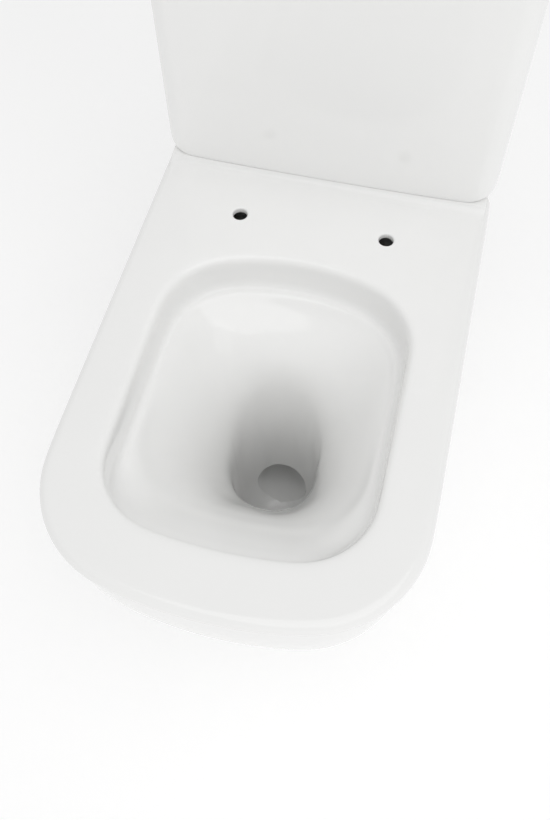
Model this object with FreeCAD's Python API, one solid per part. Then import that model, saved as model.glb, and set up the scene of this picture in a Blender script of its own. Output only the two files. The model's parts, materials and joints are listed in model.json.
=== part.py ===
"""Close coupled toilet: a rimless washdown pan with a square soft-cornered rim, and a
cistern bolted on the deck behind it.

The pan is one hollow vitreous china casting with a P-trap and a horizontal outlet. The
cistern holds a dual flush drop valve, worked by a split push button in the lid, and a
bottom entry fill valve with a float. No seat is fitted: its two fixing holes are open.

Millimetres. +Z is up and +Y points to the wall. The origin is on the floor, midway between
the sides and midway between the front of the rim and the back of the cistern.
Most places along Y are worked out from the line through the two seat fixing holes.
"""
import FreeCAD
import Part
import math
import os
from FreeCAD import Vector

# ---------------------------------------------------------------- driving sizes
RIM_HEIGHT = 400.0            # floor to the top of the rim
RIM_WIDTH = 352.0
RIM_EDGE_DEPTH = 16.0         # height of the rim's outer edge
SEAT_LINE_TO_FRONT = 424.0    # seat fixing holes to the front of the rim
SEAT_LINE_TO_CISTERN = 60.0   # seat fixing holes to the cistern's front
SEAT_HOLE_SPACING = 155.0
SEAT_HOLE_RADIUS = 7.5
CISTERN_WIDTH = 354.0
CISTERN_DEPTH = 165.0
CISTERN_HEIGHT = 345.0
LID_HEIGHT = 32.0
OUTLET_HEIGHT = 180.0         # floor to the outlet's centre
OUTLET_RADIUS = 51.0          # outside of the spigot
OUTLET_LENGTH = 60.0          # of the spigot that a pan connector slides over
TRAP_RADIUS = 32.0            # bore of the trapway
WATER_SEAL = 50.0             # depth of water over the dip of the trap
CHINA_WALL = 12.0             # wall of the pan
TANK_WALL = 9.0
TANK_FLOOR = 11.0
TAIL_RADIUS = 29.5            # flush valve's threaded tail
BUTTON_TRAVEL = 6.0
FLOAT_TRAVEL = 14.0

# ---------------------------------------------------------------- clearances
EXACT = 1e-6                  # closeness of two equal lengths
REST_GAP = 0.4                # between pieces that push each other
SLIDE_GAP = 0.4               # around a piece that slides
PIN_GAP = 0.05                # round a hinge pin
SIDE_GAP = 0.5                # beside a lever on its pin

# ---------------------------------------------------------------- datums
TOTAL_DEPTH = SEAT_LINE_TO_FRONT + SEAT_LINE_TO_CISTERN + CISTERN_DEPTH
SEAT_LINE = SEAT_LINE_TO_FRONT - TOTAL_DEPTH / 2
RIM_FRONT = SEAT_LINE - SEAT_LINE_TO_FRONT
CISTERN_FRONT = SEAT_LINE + SEAT_LINE_TO_CISTERN
CISTERN_BACK = CISTERN_FRONT + CISTERN_DEPTH
VALVE_Y = CISTERN_FRONT + CISTERN_DEPTH / 2     # flush valve, coupling bolts, fill valve
RIM_HALF = RIM_WIDTH / 2

# ---------------------------------------------------------------- rim and deck
RIM_CORNER = 110.0            # plan radius of the front corners
RIM_FRONT_ARC = 420.0         # plan radius of the front edge
RIM_REAR_CORNER = 18.0
FLAT_ARC = 4000.0             # plan radius of an edge that is almost straight
RIM_TOP = 14.0                # thickness of the rim's and the deck's top
RIM_ROUND = 9.0               # rounding of the top edge
RIM_UNDER_ROUND = 3.0
LIP_INSET = 8.0               # the body stands this far inside the rim's edge
DECK_END = CISTERN_FRONT + 37.0        # where the full width of the deck stops
TAIL_HALF = 105.0             # half width of the deck under the cistern
TAIL_DEPTH = 45.0
TAIL_END = CISTERN_BACK - 11.0
TAIL_WALL = 10.0
PLATFORM_RISE = 6.0           # raised step that the cistern stands on
PLATFORM_FRONT = CISTERN_FRONT + 1.0
PLATFORM_RUN = 10.0           # length of the step's hollow front
PLATFORM_INSET = 5.0
CISTERN_BASE = RIM_HEIGHT + PLATFORM_RISE

# ---------------------------------------------------------------- bowl
OPENING_HALF = 123.5          # half width of the opening, under its rounded edge
OPENING_REAR = SEAT_LINE - 50.0
OPENING_FRONT = RIM_FRONT + 60.0
OPENING_FRONT_CORNER = 70.0
OPENING_REAR_CORNER = 75.0
OPENING_FRONT_ARC = 460.0
OPENING_REAR_ARC = 230.0
OPENING_ROUND = 8.0
OPENING_LEAN = 32.0           # the front wall of the opening leans back by this
LEDGE_DROP = 42.0             # rim top to the flushing ledge
LEDGE_SIDE = 8.0              # width of the ledge at the sides
LEDGE_BACK = 14.0             # and at the back, gutter included
GUTTER_WIDTH = 6.5
GUTTER_DEPTH = 24.0
GUTTER_HALF = 70.0
LEDGE_Z = RIM_HEIGHT - LEDGE_DROP
GUTTER_Z = LEDGE_Z - GUTTER_DEPTH
WATER_LEVEL = OUTLET_HEIGHT - TRAP_RADIUS
DIP_HEIGHT = WATER_LEVEL - WATER_SEAL
SUMP_Y = SEAT_LINE - 166.0
SUMP_RADIUS = 36.0
SHAFT_HALF = 50.0             # half width of the bowl's steep shaft at its edge
TRAP_FLOOR_Z = DIP_HEIGHT - TRAP_RADIUS         # centre of the trapway at the dip
TRAP_RUN = 66.0               # level run of the trapway from the sump's middle
TRAP_BEND = 58.0
WEIR_Y = SEAT_LINE + 5.0

# ---------------------------------------------------------------- flushing channel
BACKNUT_RADIUS = TAIL_RADIUS + 5.5     # to its flats
INLET_RADIUS = TAIL_RADIUS - 3.5
CUP_RADIUS = BACKNUT_RADIUS * 1.4      # cup in the deck for the coupling gasket
CUP_DEPTH = 24.0
CUP_WALL = 9.0
CUP_Z = CISTERN_BASE - CUP_DEPTH
DUCT_HALF = 30.0
DUCT_HEIGHT = 24.0
SLOT_HEIGHT = 12.0            # the duct narrows to this where it meets the gutter
DUCT_WALL = 9.0
COLUMN_HALF = 52.0            # column under the deck, above the outlet
COLUMN_WALL = 10.0

# ---------------------------------------------------------------- foot
FOOT_HALF = 104.0
FOOT_CORNER = 60.0
FOOT_FRONT = SEAT_LINE - 258.0
FOOT_BACK = SEAT_LINE + 84.0
LUG_OFFSET = FOOT_HALF + 10.0          # floor fixing holes, from the centre line
LUG_Y = SEAT_LINE + 20.0
LUG_RADIUS = 18.0
LUG_HEIGHT = 24.0
FLOOR_HOLE_RADIUS = 5.0
SPIGOT_END = TAIL_END
SPIGOT_BORE = OUTLET_RADIUS - 7.0
SPIGOT_STEP = 2.5             # shoulder that stops a pan connector
SPIGOT_START = WEIR_Y + 22.0

# ---------------------------------------------------------------- cistern
CISTERN_FRONT_CORNER = 24.0
CISTERN_REAR_CORNER = 12.0
CISTERN_FRONT_ARC = 5000.0
CISTERN_FOOT_ROUND = 6.0
CISTERN_TOP = CISTERN_BASE + CISTERN_HEIGHT
TANK_BED = CISTERN_BASE + TANK_FLOOR           # floor inside the cistern
WALL_HOLE_SPACING = 190.0
WALL_HOLE_RADIUS = 4.0
WALL_HOLE_DROP = 50.0         # below the top of the cistern

# ---------------------------------------------------------------- coupling
BOLT_SPACING = 2 * (CUP_RADIUS + CUP_WALL + 17.0)
BOLT_RADIUS = 4.0
BOLT_HOLE_RADIUS = 6.0
BOLT_HEAD_RADIUS = 9.0
BOLT_HEAD_HEIGHT = 5.0
SCREW_SLOT = 2.0              # width and depth of the slot in a bolt's head
BOLT_TAIL = 18.0              # thread left under the wing nut
THREAD_GAP = 0.05
CONE_RADIUS = 13.0
CONE_HEIGHT = 7.0
CONE_TAPER = 3.0
WASHER_RADIUS = 12.0
RUBBER_WASHER = 3.0
METAL_WASHER = 1.5
WING_NUT_RADIUS = 7.0
WING_NUT_HEIGHT = 9.0
WING_SPAN = 15.0
WING_HALF = 1.5
GASKET_GAP = 1.0

# ---------------------------------------------------------------- flush valve
SEAT_WASHER = 3.0
TAIL_BORE = TAIL_RADIUS - 5.0
TAIL_DROP = 19.0              # thread under the cistern
TANK_HOLE_RADIUS = TAIL_RADIUS + 1.0
BACKNUT_HEIGHT = 10.0
FLANGE_RADIUS = TAIL_RADIUS + 11.5
FLANGE_HEIGHT = 5.0
SEAT_RING_RADIUS = TAIL_RADIUS - 1.0
SEAT_RING_HEIGHT = 7.0
LEG_INNER = TAIL_RADIUS + 4.5
LEG_OUTER = LEG_INNER + 4.0
LEG_WIDTH = 12.0
LEG_HEIGHT = 46.0
CAGE_RING = 5.0
TOWER_RADIUS = TAIL_RADIUS + 1.5
TOWER_WALL = 2.5
TUBE_RADIUS = 14.0
TUBE_WALL = 2.0
SEAL_RADIUS = SEAT_RING_RADIUS - 1.0
SEAL_THICKNESS = 3.0
TUBE_FOOT = 4.0
LEVER_RISE = 243.0            # cistern's floor to the pivot of the two flush levers
TOWER_DROP = 36.0             # top of the tower, under that pivot
PLATE = 4.0
LEVER_PIVOT = 8.0             # pivot behind the valve's axis
PRESS_ARM = 18.0              # pivot to push rod
NOSE_ARM = 29.0               # pivot to the tip of the lifting nose
LEVER_HALF = 3.0              # half thickness of a lever
LEVER_WIDTH = 12.0
LEVER_EYE = 6.0               # radius of the boss round the pin
ROD_OFFSET = 11.0             # push rods, each side of the valve's axis
ROD_RADIUS = 2.5
PIN_RADIUS = 2.0
EAR_GAP = 0.8
EAR_THICKNESS = 3.0
HOOK_THICKNESS = 3.0
HOOK_HALF = 5.0               # half width of a hook's strip
HOOK_FINGER = 7.0             # reach of a hook's finger over a lever's nose
GUIDE_HALF = 8.0
GUIDE_WALL = 3.0
GUIDE_SLOT_HALF = 4.4
WINDOWS = 3                   # in the front of the tower
WINDOW_HALF = 9.0
WINDOW_HEIGHT = 28.0
WINDOW_PITCH = 42.0
WINDOW_START = 20.0
PIN_END = 1.5                 # the lever pin stands out of the ears by this
TUBE_TOP = 10.0               # overflow tube above the tower
ARM_DEPTH = 6.0
STRIP_HALF = 3.5
STRIP_TOP = 12.0              # the half float's strip is wide from this far under its hook
HALF_FLOAT_BACK = 5.0         # the strip stands this far inside the float's rear
HALF_FLOAT_RADIUS = 11.0
HALF_FLOAT_HEIGHT = 48.0
HALF_FLOAT_DROP = 120.0       # top of the half flush float, under the lever pivot
SEAT_Z = TANK_BED + SEAT_WASHER
FLANGE_TOP = SEAT_Z + FLANGE_HEIGHT
SEAT_TOP = FLANGE_TOP + SEAT_RING_HEIGHT
CAGE_Z = FLANGE_TOP + LEG_HEIGHT
LEVER_Z = TANK_BED + LEVER_RISE
LEVER_Y = VALVE_Y + LEVER_PIVOT
TOWER_TOP = LEVER_Z - TOWER_DROP
PRESS_Y = LEVER_Y - PRESS_ARM
HOOK_Y = LEVER_Y + NOSE_ARM + 1.5      # front of the two hooks' upright strips
LEVER_TOP = LEVER_Z + LEVER_HALF
EAR_INSIDE = ROD_OFFSET + LEVER_WIDTH / 2 + EAR_GAP

# ---------------------------------------------------------------- lid and button
LID_OVERHANG = 2.5
LID_CORNER_ROUND = 6.0
LID_WEB = 9.0
LID_WALL = 11.0
LID_LIP = 6.0                 # locating lip inside the cistern
LID_LIP_GAP = 1.5
LID_Z = CISTERN_TOP + REST_GAP
LID_TOP = LID_Z + LID_HEIGHT
LID_HOLE_RADIUS = 29.0
BEZEL_RADIUS = 34.0
BEZEL_FLANGE = 3.0
BEZEL_TUBE_RADIUS = 27.5
BEZEL_BORE = 25.5
BEZEL_DROP = 33.0
BEZEL_STEP = 1.5
CLAMP_RADIUS = 37.0
CLAMP_HEIGHT = 8.0
CLAMP_NOTCHES = 8
CLAMP_NOTCH = 3.5
SPRING_PLATE_DROP = 27.0
SPRING_PLATE = 2.0
SPLIT_X = 5.0                 # where the full and the half button meet
BUTTON_GAP = 0.4
BUTTON_PLATE = 4.0
BUTTON_EDGE = 0.8             # rounding of a button's edge
BOSS_RADIUS = 4.6
BOSS_LENGTH = 7.5
SPRING_RADIUS = 3.9
SPRING_WIRE = 0.45
SPRING_TURNS = 5.0
BUTTON_TOP = LID_TOP + BEZEL_FLANGE - 0.5
BUTTON_UNDER = BUTTON_TOP - BUTTON_PLATE
BOSS_Z = BUTTON_UNDER - BOSS_LENGTH
SPRING_PLATE_TOP = LID_TOP - SPRING_PLATE_DROP

# ---------------------------------------------------------------- fill valve
FILL_X = -128.0
SHANK_RADIUS = 10.45          # half inch pipe thread
SHANK_BORE = 5.0
SHANK_DROP = 32.0             # thread under the cistern
SHANK_TAIL = 20.0             # of it for the water supply's nut
SHANK_RELIEF = 2.0            # width of the groove above that
RELIEF_DEPTH = 0.9
OUTLET_GAP = 6.0              # height of the valve's side outlet
LUG_HALF = 5.0                # half height of the arm's lug
FILL_HOLE_RADIUS = 12.0
FILL_FLANGE_RADIUS = 18.0
FILL_FLANGE = 4.0
FILL_WASHER = 3.0
FILL_NUT_RADIUS = 16.0
FILL_NUT_HEIGHT = 8.0
RISER_RADIUS = 11.0
HEAD_RISE = 223.0             # cistern's floor to the valve head
HEAD_RADIUS = 15.0
HEAD_HEIGHT = 22.0
CAP_RADIUS = 14.0
CAP_HEIGHT = 9.0
CAP_ROUND = 2.0
FLOAT_RADIUS = 29.0
FLOAT_HEIGHT = 80.0
FLOAT_WALL = 2.0
FLOAT_RISE = 103.0            # cistern's floor to the float at rest
FLOAT_BORE = RISER_RADIUS + 2.0
ARM_LENGTH = 36.0             # lever pivot to the float's rod
ARM_PIVOT = 20.0              # the pivot stands this far to the left of the riser
ARM_PIVOT_RISE = 12.0         # above the head's base
ARM_SIDE = 19.0               # the arm's middle passes this far in front of the riser
ARM_THICKNESS = 4.0
FORK_HALF = 4.5
FLOAT_ROD_RADIUS = 2.0
COLLAR_RADIUS = 3.6
COLLAR_GAP = 1.8
COLLAR = 1.5
EYE_RADIUS = 4.5              # eye of the float arm
FORK_BACK = 6.0               # start of the fork's slot, before the float's rod
FORK_END = 5.0
FORK_ROOT = 2.5
PIN_DEPTH = 19.0              # hole for the arm's pin, from its head's side
PIN_HEAD = 1.5
PIN_RUN = 7.5                 # of the arm's pin inside the lug
PIN_HEAD_RADIUS = 3.5
HEAD_Z = TANK_BED + HEAD_RISE
FLOAT_Z = TANK_BED + FLOAT_RISE
ARM_X = FILL_X - ARM_PIVOT
ARM_Y = VALVE_Y - ARM_SIDE
ARM_Z = HEAD_Z + ARM_PIVOT_RISE
FLOAT_ROD_X = ARM_X + ARM_LENGTH


# ================================================================ helpers
def block(x0, x1, y0, y1, z0, z1):
    return Part.makeBox(x1 - x0, y1 - y0, z1 - z0, Vector(x0, y0, z0))


def rod(radius, z0, z1, x=0.0, y=0.0):
    return Part.makeCylinder(radius, z1 - z0, Vector(x, y, z0))


def ring(outer, inner, z0, z1, x=0.0, y=0.0):
    return rod(outer, z0, z1, x, y).cut(rod(inner, z0 - 1, z1 + 1, x, y))


def joined(shapes):
    """One solid from several that meet."""
    first = shapes[0].fuse(shapes[1:]) if len(shapes) > 1 else shapes[0]
    return first.removeSplitter()


def outline(z, half, front, rear, corners, arcs):
    """A closed plan outline: straight sides, a corner radius and an arc at each end."""
    front_corner, rear_corner = corners
    front_arc, rear_arc = arcs

    def end(tip, arc, corner, way):
        """Tangent points and middles of one end; way is +1 where the end faces +Y."""
        centre = tip - way * arc
        cx = half - corner
        reach = arc - corner
        cy = centre + way * math.sqrt(reach * reach - cx * cx)
        side = Vector(half, cy, z)
        touch = Vector(cx * arc / reach, centre + (cy - centre) * arc / reach, z)
        bend = math.atan2(way * (touch.y - cy), touch.x - cx) / 2
        middle = Vector(cx + corner * math.cos(bend), cy + way * corner * math.sin(bend), z)
        return side, middle, touch, Vector(0, tip, z)

    def mirror(p):
        return Vector(-p.x, p.y, p.z)

    fs, fm, ft, tip = end(front, front_arc, front_corner, -1)
    rs, rm, rt, back = end(rear, rear_arc, rear_corner, 1)
    edges = [
        Part.Arc(mirror(ft), tip, ft),
        Part.Arc(ft, fm, fs),
        Part.LineSegment(fs, rs),
        Part.Arc(rs, rm, rt),
        Part.Arc(rt, back, mirror(rt)),
        Part.Arc(mirror(rt), mirror(rm), mirror(rs)),
        Part.LineSegment(mirror(rs), mirror(fs)),
        Part.Arc(mirror(fs), mirror(fm), mirror(ft)),
    ]
    return Part.Wire([e.toShape() for e in edges])


def slab(wire, height):
    return Part.Face(wire).extrude(Vector(0, 0, height))


def edges_at(shape, z, keep=lambda e: True):
    """Edges that lie wholly in the plane at height z."""
    flat = []
    for e in shape.Edges:
        box = e.BoundBox
        if abs(box.ZMin - z) < 1e-4 and abs(box.ZMax - z) < 1e-4 and keep(e):
            flat.append(e)
    return flat


def hexagon(radius, z0, z1, x=0.0, y=0.0):
    """A hexagonal prism; radius is to its flats."""
    reach = radius / math.cos(math.pi / 6)
    points = []
    for k in range(7):
        turn = math.pi / 3 * k
        points.append(Vector(x + reach * math.cos(turn), y + reach * math.sin(turn), z0))
    return slab(Part.makePolygon(points), z1 - z0)


def lathe(profile, x=0.0, y=0.0):
    """Turns (radius, z) points about a vertical axis."""
    points = [Vector(x + r, y, z) for r, z in profile]
    face = Part.Face(Part.makePolygon(points + points[:1]))
    return face.revolve(Vector(x, y, 0), Vector(0, 0, 1), 360)


def pair(make, offset):
    """Two like pieces, one each side of the centre line, in one node."""
    return Part.makeCompound([make(-offset), make(offset)])


# ================================================================ pan
def rim_outline(inset, z):
    return outline(
        z,
        RIM_HALF - inset,
        RIM_FRONT + inset,
        DECK_END - inset,
        (RIM_CORNER - inset, max(RIM_REAR_CORNER - inset, 4.0)),
        (RIM_FRONT_ARC - inset, FLAT_ARC - inset),
    )


def body_loft(inset):
    """The outside of the pan under the rim, from the rim's edge down to the floor."""
    top = RIM_HEIGHT - RIM_EDGE_DEPTH
    half = RIM_HALF - LIP_INSET
    front = RIM_FRONT + LIP_INSET
    corner = RIM_CORNER - LIP_INSET
    stations = [
        # share of the height, half width, front, front corner
        (1.00, half, front, corner),
        (0.92, half - 0.5, front + 0.3, corner),
        (0.80, half - 3.5, front + 3.0, corner - 3.0),
        (0.66, half - 19.0, front + 20.0, corner - 9.0),
        (0.50, half - 43.5, front + 71.0, corner - 24.0),
        (0.34, FOOT_HALF + 2.0, FOOT_FRONT - 44.0, FOOT_CORNER + 6.0),
        (0.16, FOOT_HALF - 4.0, FOOT_FRONT - 12.0, FOOT_CORNER),
        (0.0, FOOT_HALF, FOOT_FRONT, FOOT_CORNER),
    ]
    wires = []
    for share, half, front, corner in stations:
        rear = FOOT_BACK + (DECK_END - LIP_INSET - FOOT_BACK) * share
        wires.append(
            outline(
                top * share,
                half - inset,
                front + inset,
                rear - inset,
                (corner - inset, 24.0 - inset),
                (RIM_FRONT_ARC - LIP_INSET - inset, FLAT_ARC - inset),
            )
        )
    wires.reverse()
    return Part.makeLoft(wires, True, False)


def foot_mouth(hollow):
    """Opens the hollow of the body at the floor."""
    flat = [f for f in hollow.Faces if abs(f.BoundBox.ZMax) < 1e-4 and f.BoundBox.ZLength < 1e-4]
    return flat[0].extrude(Vector(0, 0, -2.0))


def column(inset):
    """The column behind the body, between the deck and the outlet."""
    stations = [
        (OUTLET_HEIGHT - 20.0, COLUMN_HALF - 6.0, FOOT_BACK + 34.0),
        (OUTLET_HEIGHT + 60.0, COLUMN_HALF - 3.0, FOOT_BACK + 58.0),
        (RIM_HEIGHT - RIM_TOP, COLUMN_HALF, TAIL_END - TAIL_WALL),
    ]
    wires = []
    for z, half, rear in stations:
        half -= inset
        corners = [
            Vector(-half, FOOT_BACK - 40.0, z),
            Vector(half, FOOT_BACK - 40.0, z),
            Vector(half, rear - inset, z),
            Vector(-half, rear - inset, z),
        ]
        wires.append(Part.makePolygon(corners + corners[:1]))
    return Part.makeLoft(wires, True, True)


def bowl_loft(outset):
    """The bowl: a dish from the ledge down to the edge of a steep shaft, and the shaft down to
    the dip of the trap. Grown by outset."""
    depth = LEDGE_Z - DIP_HEIGHT
    half = OPENING_HALF - LEDGE_SIDE
    front = OPENING_FRONT + OPENING_LEAN + 0.5
    rear = OPENING_REAR - LEDGE_BACK
    well = SUMP_RADIUS + 5.0
    lip = SHAFT_HALF
    stations = [
        # share of the depth, half width, front, rear, front corner, rear corner
        (0.0, half, front, rear, 62.0, 66.0),
        (0.05, half - 11.5, front + 12.5, rear - 14.0, 61.0, 62.0),
        (0.13, half - 21.5, front + 29.0, rear - 41.0, 59.0, 55.0),
        (0.22, lip + 32.0, front + 45.5, rear - 54.5, 57.0, 50.0),
        (0.38, lip + 15.5, front + 68.0, rear - 60.5, 51.0, 44.0),
        (0.53, lip + 3.3, front + 87.0, rear - 62.8, 46.0, 41.0),
        (0.67, lip - 1.4, front + 102.0, rear - 63.8, 43.0, 39.5),
        (0.84, lip - 5.0, front + 110.5, rear - 65.0, 40.0, 38.0),
        (1.0, well, SUMP_Y - well, SUMP_Y + well - 3.0, well - 4.0, well - 6.0),
    ]
    wires = []
    for share, half, front, rear, front_corner, rear_corner in stations:
        wires.append(
            outline(
                LEDGE_Z - depth * share,
                half + outset,
                front - outset,
                rear + outset,
                (front_corner + outset, rear_corner + outset),
                (half * 2.2 + outset, half * 1.8 + outset),
            )
        )
    wires.reverse()
    return Part.makeLoft(wires, True, False)


def opening_outline(outset, lean, z):
    return outline(
        z,
        OPENING_HALF + outset,
        OPENING_FRONT + lean - outset,
        OPENING_REAR + outset,
        (OPENING_FRONT_CORNER + outset, OPENING_REAR_CORNER + outset),
        (OPENING_FRONT_ARC + outset, OPENING_REAR_ARC + outset),
    )


def opening(outset, z0, z1):
    """The opening in the rim above the ledge: its front wall leans, the rest is upright."""
    slope = OPENING_LEAN / LEDGE_DROP
    lower = opening_outline(outset, slope * (RIM_HEIGHT - z0), z0)
    upper = opening_outline(outset, slope * (RIM_HEIGHT - z1), z1)
    return Part.makeLoft([lower, upper], True, True)


def gutter(outset, z0, z1):
    """Behind the ledge's lip, at the back of the bowl."""
    outer = slab(opening_outline(outset, 0, z0), z1 - z0)
    inner = slab(opening_outline(-GUTTER_WIDTH - 2 * outset, 0, z0), z1 - z0)
    half = GUTTER_HALF + outset
    keep = block(-half, half, OPENING_REAR - 30.0, OPENING_REAR + 30.0, z0, z1)
    return outer.cut(inner).common(keep)


def trapway(radius, sump_radius):
    """Sump, dip, rise and weir, up to the outlet's bore."""
    start = Vector(0, SUMP_Y, TRAP_FLOOR_Z)
    bend = Vector(0, SUMP_Y + TRAP_RUN, TRAP_FLOOR_Z)
    weir = Vector(0, WEIR_Y, OUTLET_HEIGHT)
    end = Vector(0, WEIR_Y + 40.0, OUTLET_HEIGHT)
    slope = weir.sub(bend)
    slope.normalize()
    half_turn = math.atan2(slope.z, slope.y) / 2
    tangent = TRAP_BEND * math.tan(half_turn)
    reach = TRAP_BEND * math.sin(half_turn)
    sag = TRAP_BEND * (1 - math.cos(half_turn))
    a = bend.sub(Vector(0, tangent, 0))
    b = bend.add(slope * tangent)
    c = weir.sub(slope * tangent)
    d = weir.add(Vector(0, tangent, 0))
    spine = Part.Wire(
        [
            Part.LineSegment(start, a).toShape(),
            Part.Arc(a, Vector(0, a.y + reach, a.z + sag), b).toShape(),
            Part.LineSegment(b, c).toShape(),
            Part.Arc(c, Vector(0, d.y - reach, d.z - sag), d).toShape(),
            Part.LineSegment(d, end).toShape(),
        ]
    )
    section = Part.Wire([Part.makeCircle(radius, start, Vector(0, 1, 0))])
    tube = spine.makePipeShell([section], True, False)
    return tube, Part.makeSphere(sump_radius, start)


def sump_well(outset):
    """The upright part of the sump, between the dip and the trapway's centre."""
    wires = []
    for z, half, rear in (
        (TRAP_FLOOR_Z, SUMP_RADIUS, SUMP_Y + SUMP_RADIUS - 2.0),
        (DIP_HEIGHT, SUMP_RADIUS + 5.0, SUMP_Y + SUMP_RADIUS + 2.0),
    ):
        wires.append(
            outline(
                z,
                half + outset,
                SUMP_Y - half - outset,
                rear + outset,
                (half - 4.0 + outset, half - 6.0 + outset),
                (half * 2.2 + outset, half * 1.8 + outset),
            )
        )
    return Part.makeLoft(wires, True, True)


def flush_channel(wall):
    """The way from the cup in the deck to the gutter behind the ledge, grown by wall."""
    low = GUTTER_Z - wall
    half = DUCT_HALF + wall
    behind_wall = OPENING_REAR + CHINA_WALL - wall
    shapes = [
        rod(INLET_RADIUS + wall, low, CUP_Z + 1, 0, VALVE_Y),
        block(-half, half, behind_wall, VALVE_Y, low, GUTTER_Z + DUCT_HEIGHT + wall),
        block(-half, half, OPENING_REAR - 3.0, VALVE_Y, low, GUTTER_Z + SLOT_HEIGHT + wall),
    ]
    return joined(shapes)


def along_y(radius, y0, y1, z):
    return Part.makeCylinder(radius, y1 - y0, Vector(0, y0, z), Vector(0, 1, 0))


def spigot():
    """The outlet: a plain end for the pan connector, and a slightly wider root."""
    shoulder = SPIGOT_END - OUTLET_LENGTH
    root = along_y(OUTLET_RADIUS + SPIGOT_STEP, SPIGOT_START, shoulder, OUTLET_HEIGHT)
    return [root, along_y(OUTLET_RADIUS, shoulder - 1, SPIGOT_END, OUTLET_HEIGHT)]


def deck_platform():
    """The raised step under the cistern, with a hollow sweep up from the deck."""
    half = RIM_HALF - PLATFORM_INSET
    toe = PLATFORM_FRONT - PLATFORM_RUN
    back = DECK_END - PLATFORM_INSET
    floor = RIM_HEIGHT - 1.0
    start = Vector(-half, toe, RIM_HEIGHT)
    sag = Vector(-half, toe + 0.62 * PLATFORM_RUN, RIM_HEIGHT + 0.25 * PLATFORM_RISE)
    top = Vector(-half, PLATFORM_FRONT, CISTERN_BASE)
    edges = [Part.Arc(start, sag, top).toShape()]
    corners = [
        top,
        Vector(-half, back, CISTERN_BASE),
        Vector(-half, back, floor),
        Vector(-half, toe, floor),
        start,
    ]
    for a, b in zip(corners, corners[1:]):
        edges.append(Part.makeLine(a, b))
    wide = Part.Face(Part.Wire(edges)).extrude(Vector(2 * half, 0, 0))
    inset = PLATFORM_INSET
    narrow = block(
        inset - TAIL_HALF, TAIL_HALF - inset, back - 20, TAIL_END - inset, floor, CISTERN_BASE
    )
    return [wide, narrow]


def floor_lug(at):
    end = rod(LUG_RADIUS, 0, LUG_HEIGHT, at, LUG_Y)
    web = block(min(0, at), max(0, at), LUG_Y - LUG_RADIUS, LUG_Y + LUG_RADIUS, 0, LUG_HEIGHT)
    return joined([end, web])


def pan_outside():
    under = RIM_HEIGHT - RIM_EDGE_DEPTH
    rim = slab(rim_outline(0, under), RIM_EDGE_DEPTH)
    rim = rim.makeFillet(RIM_ROUND, edges_at(rim, RIM_HEIGHT))
    rim = rim.makeFillet(RIM_UNDER_ROUND, edges_at(rim, under))
    tail_z = RIM_HEIGHT - TAIL_DEPTH
    tail = block(-TAIL_HALF, TAIL_HALF, DECK_END - 30, TAIL_END, tail_z, RIM_HEIGHT)
    lugs = [floor_lug(-LUG_OFFSET), floor_lug(LUG_OFFSET)]
    return joined([rim, tail, body_loft(0), column(0), *spigot(), *lugs, *deck_platform()])


def pan_core():
    """What stands inside the hollow casting: the bowl, the trap and the flush channel."""
    return [
        opening(CHINA_WALL, LEDGE_Z - CHINA_WALL, RIM_HEIGHT),
        gutter(CHINA_WALL, GUTTER_Z - CHINA_WALL, LEDGE_Z),
        bowl_loft(CHINA_WALL),
        sump_well(CHINA_WALL),
        *trapway(TRAP_RADIUS + CHINA_WALL, SUMP_RADIUS + CHINA_WALL),
        flush_channel(DUCT_WALL),
        rod(CUP_RADIUS + CUP_WALL, CUP_Z - CUP_WALL, RIM_HEIGHT, 0, VALVE_Y),
        *spigot(),
    ]


def pan_hollows(core):
    under = RIM_HEIGHT - RIM_EDGE_DEPTH
    plate_under = RIM_HEIGHT - RIM_TOP
    rim_hollow = slab(
        rim_outline(CHINA_WALL, under - 1), plate_under - under + 1
    )
    inner = body_loft(CHINA_WALL)
    body_hollow = inner.fuse([foot_mouth(inner), rim_hollow])
    tail_hollow = block(
        TAIL_WALL - TAIL_HALF,
        TAIL_HALF - TAIL_WALL,
        DECK_END + 4,
        TAIL_END - TAIL_WALL,
        RIM_HEIGHT - TAIL_DEPTH - 1,
        plate_under,
    ).cut(column(0))
    duct_under = GUTTER_Z - DUCT_WALL
    column_hollow = column(COLUMN_WALL).common(
        block(-COLUMN_HALF, COLUMN_HALF, FOOT_BACK - 50, TAIL_END, OUTLET_HEIGHT, duct_under)
    )
    hollows = []
    for hollow in (body_hollow, tail_hollow, column_hollow):
        for piece in core:
            hollow = hollow.cut(piece)
        hollows.append(hollow)
    return hollows


def pan_ways():
    """What is cut last: the ways for water, and the holes."""
    plate_under = RIM_HEIGHT - RIM_TOP
    ways = [
        bowl_loft(0),
        sump_well(0),
        opening(0, LEDGE_Z, RIM_HEIGHT + 1),
        gutter(0, GUTTER_Z, LEDGE_Z + 1),
        *trapway(TRAP_RADIUS, SUMP_RADIUS),
        along_y(SPIGOT_BORE, WEIR_Y + 30, SPIGOT_END + 1, OUTLET_HEIGHT),
        flush_channel(0),
        rod(CUP_RADIUS, CUP_Z, CISTERN_BASE + 1, 0, VALVE_Y),
    ]
    for side in (-1, 1):
        seat_x = side * SEAT_HOLE_SPACING / 2
        bolt_x = side * BOLT_SPACING / 2
        ways.append(rod(SEAT_HOLE_RADIUS, plate_under - 1, RIM_HEIGHT + 1, seat_x, SEAT_LINE))
        ways.append(rod(BOLT_HOLE_RADIUS, plate_under - 1, CISTERN_BASE + 1, bolt_x, VALVE_Y))
        ways.append(rod(FLOOR_HOLE_RADIUS, -1, LUG_HEIGHT + 1, side * LUG_OFFSET, LUG_Y))
    return ways


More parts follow.
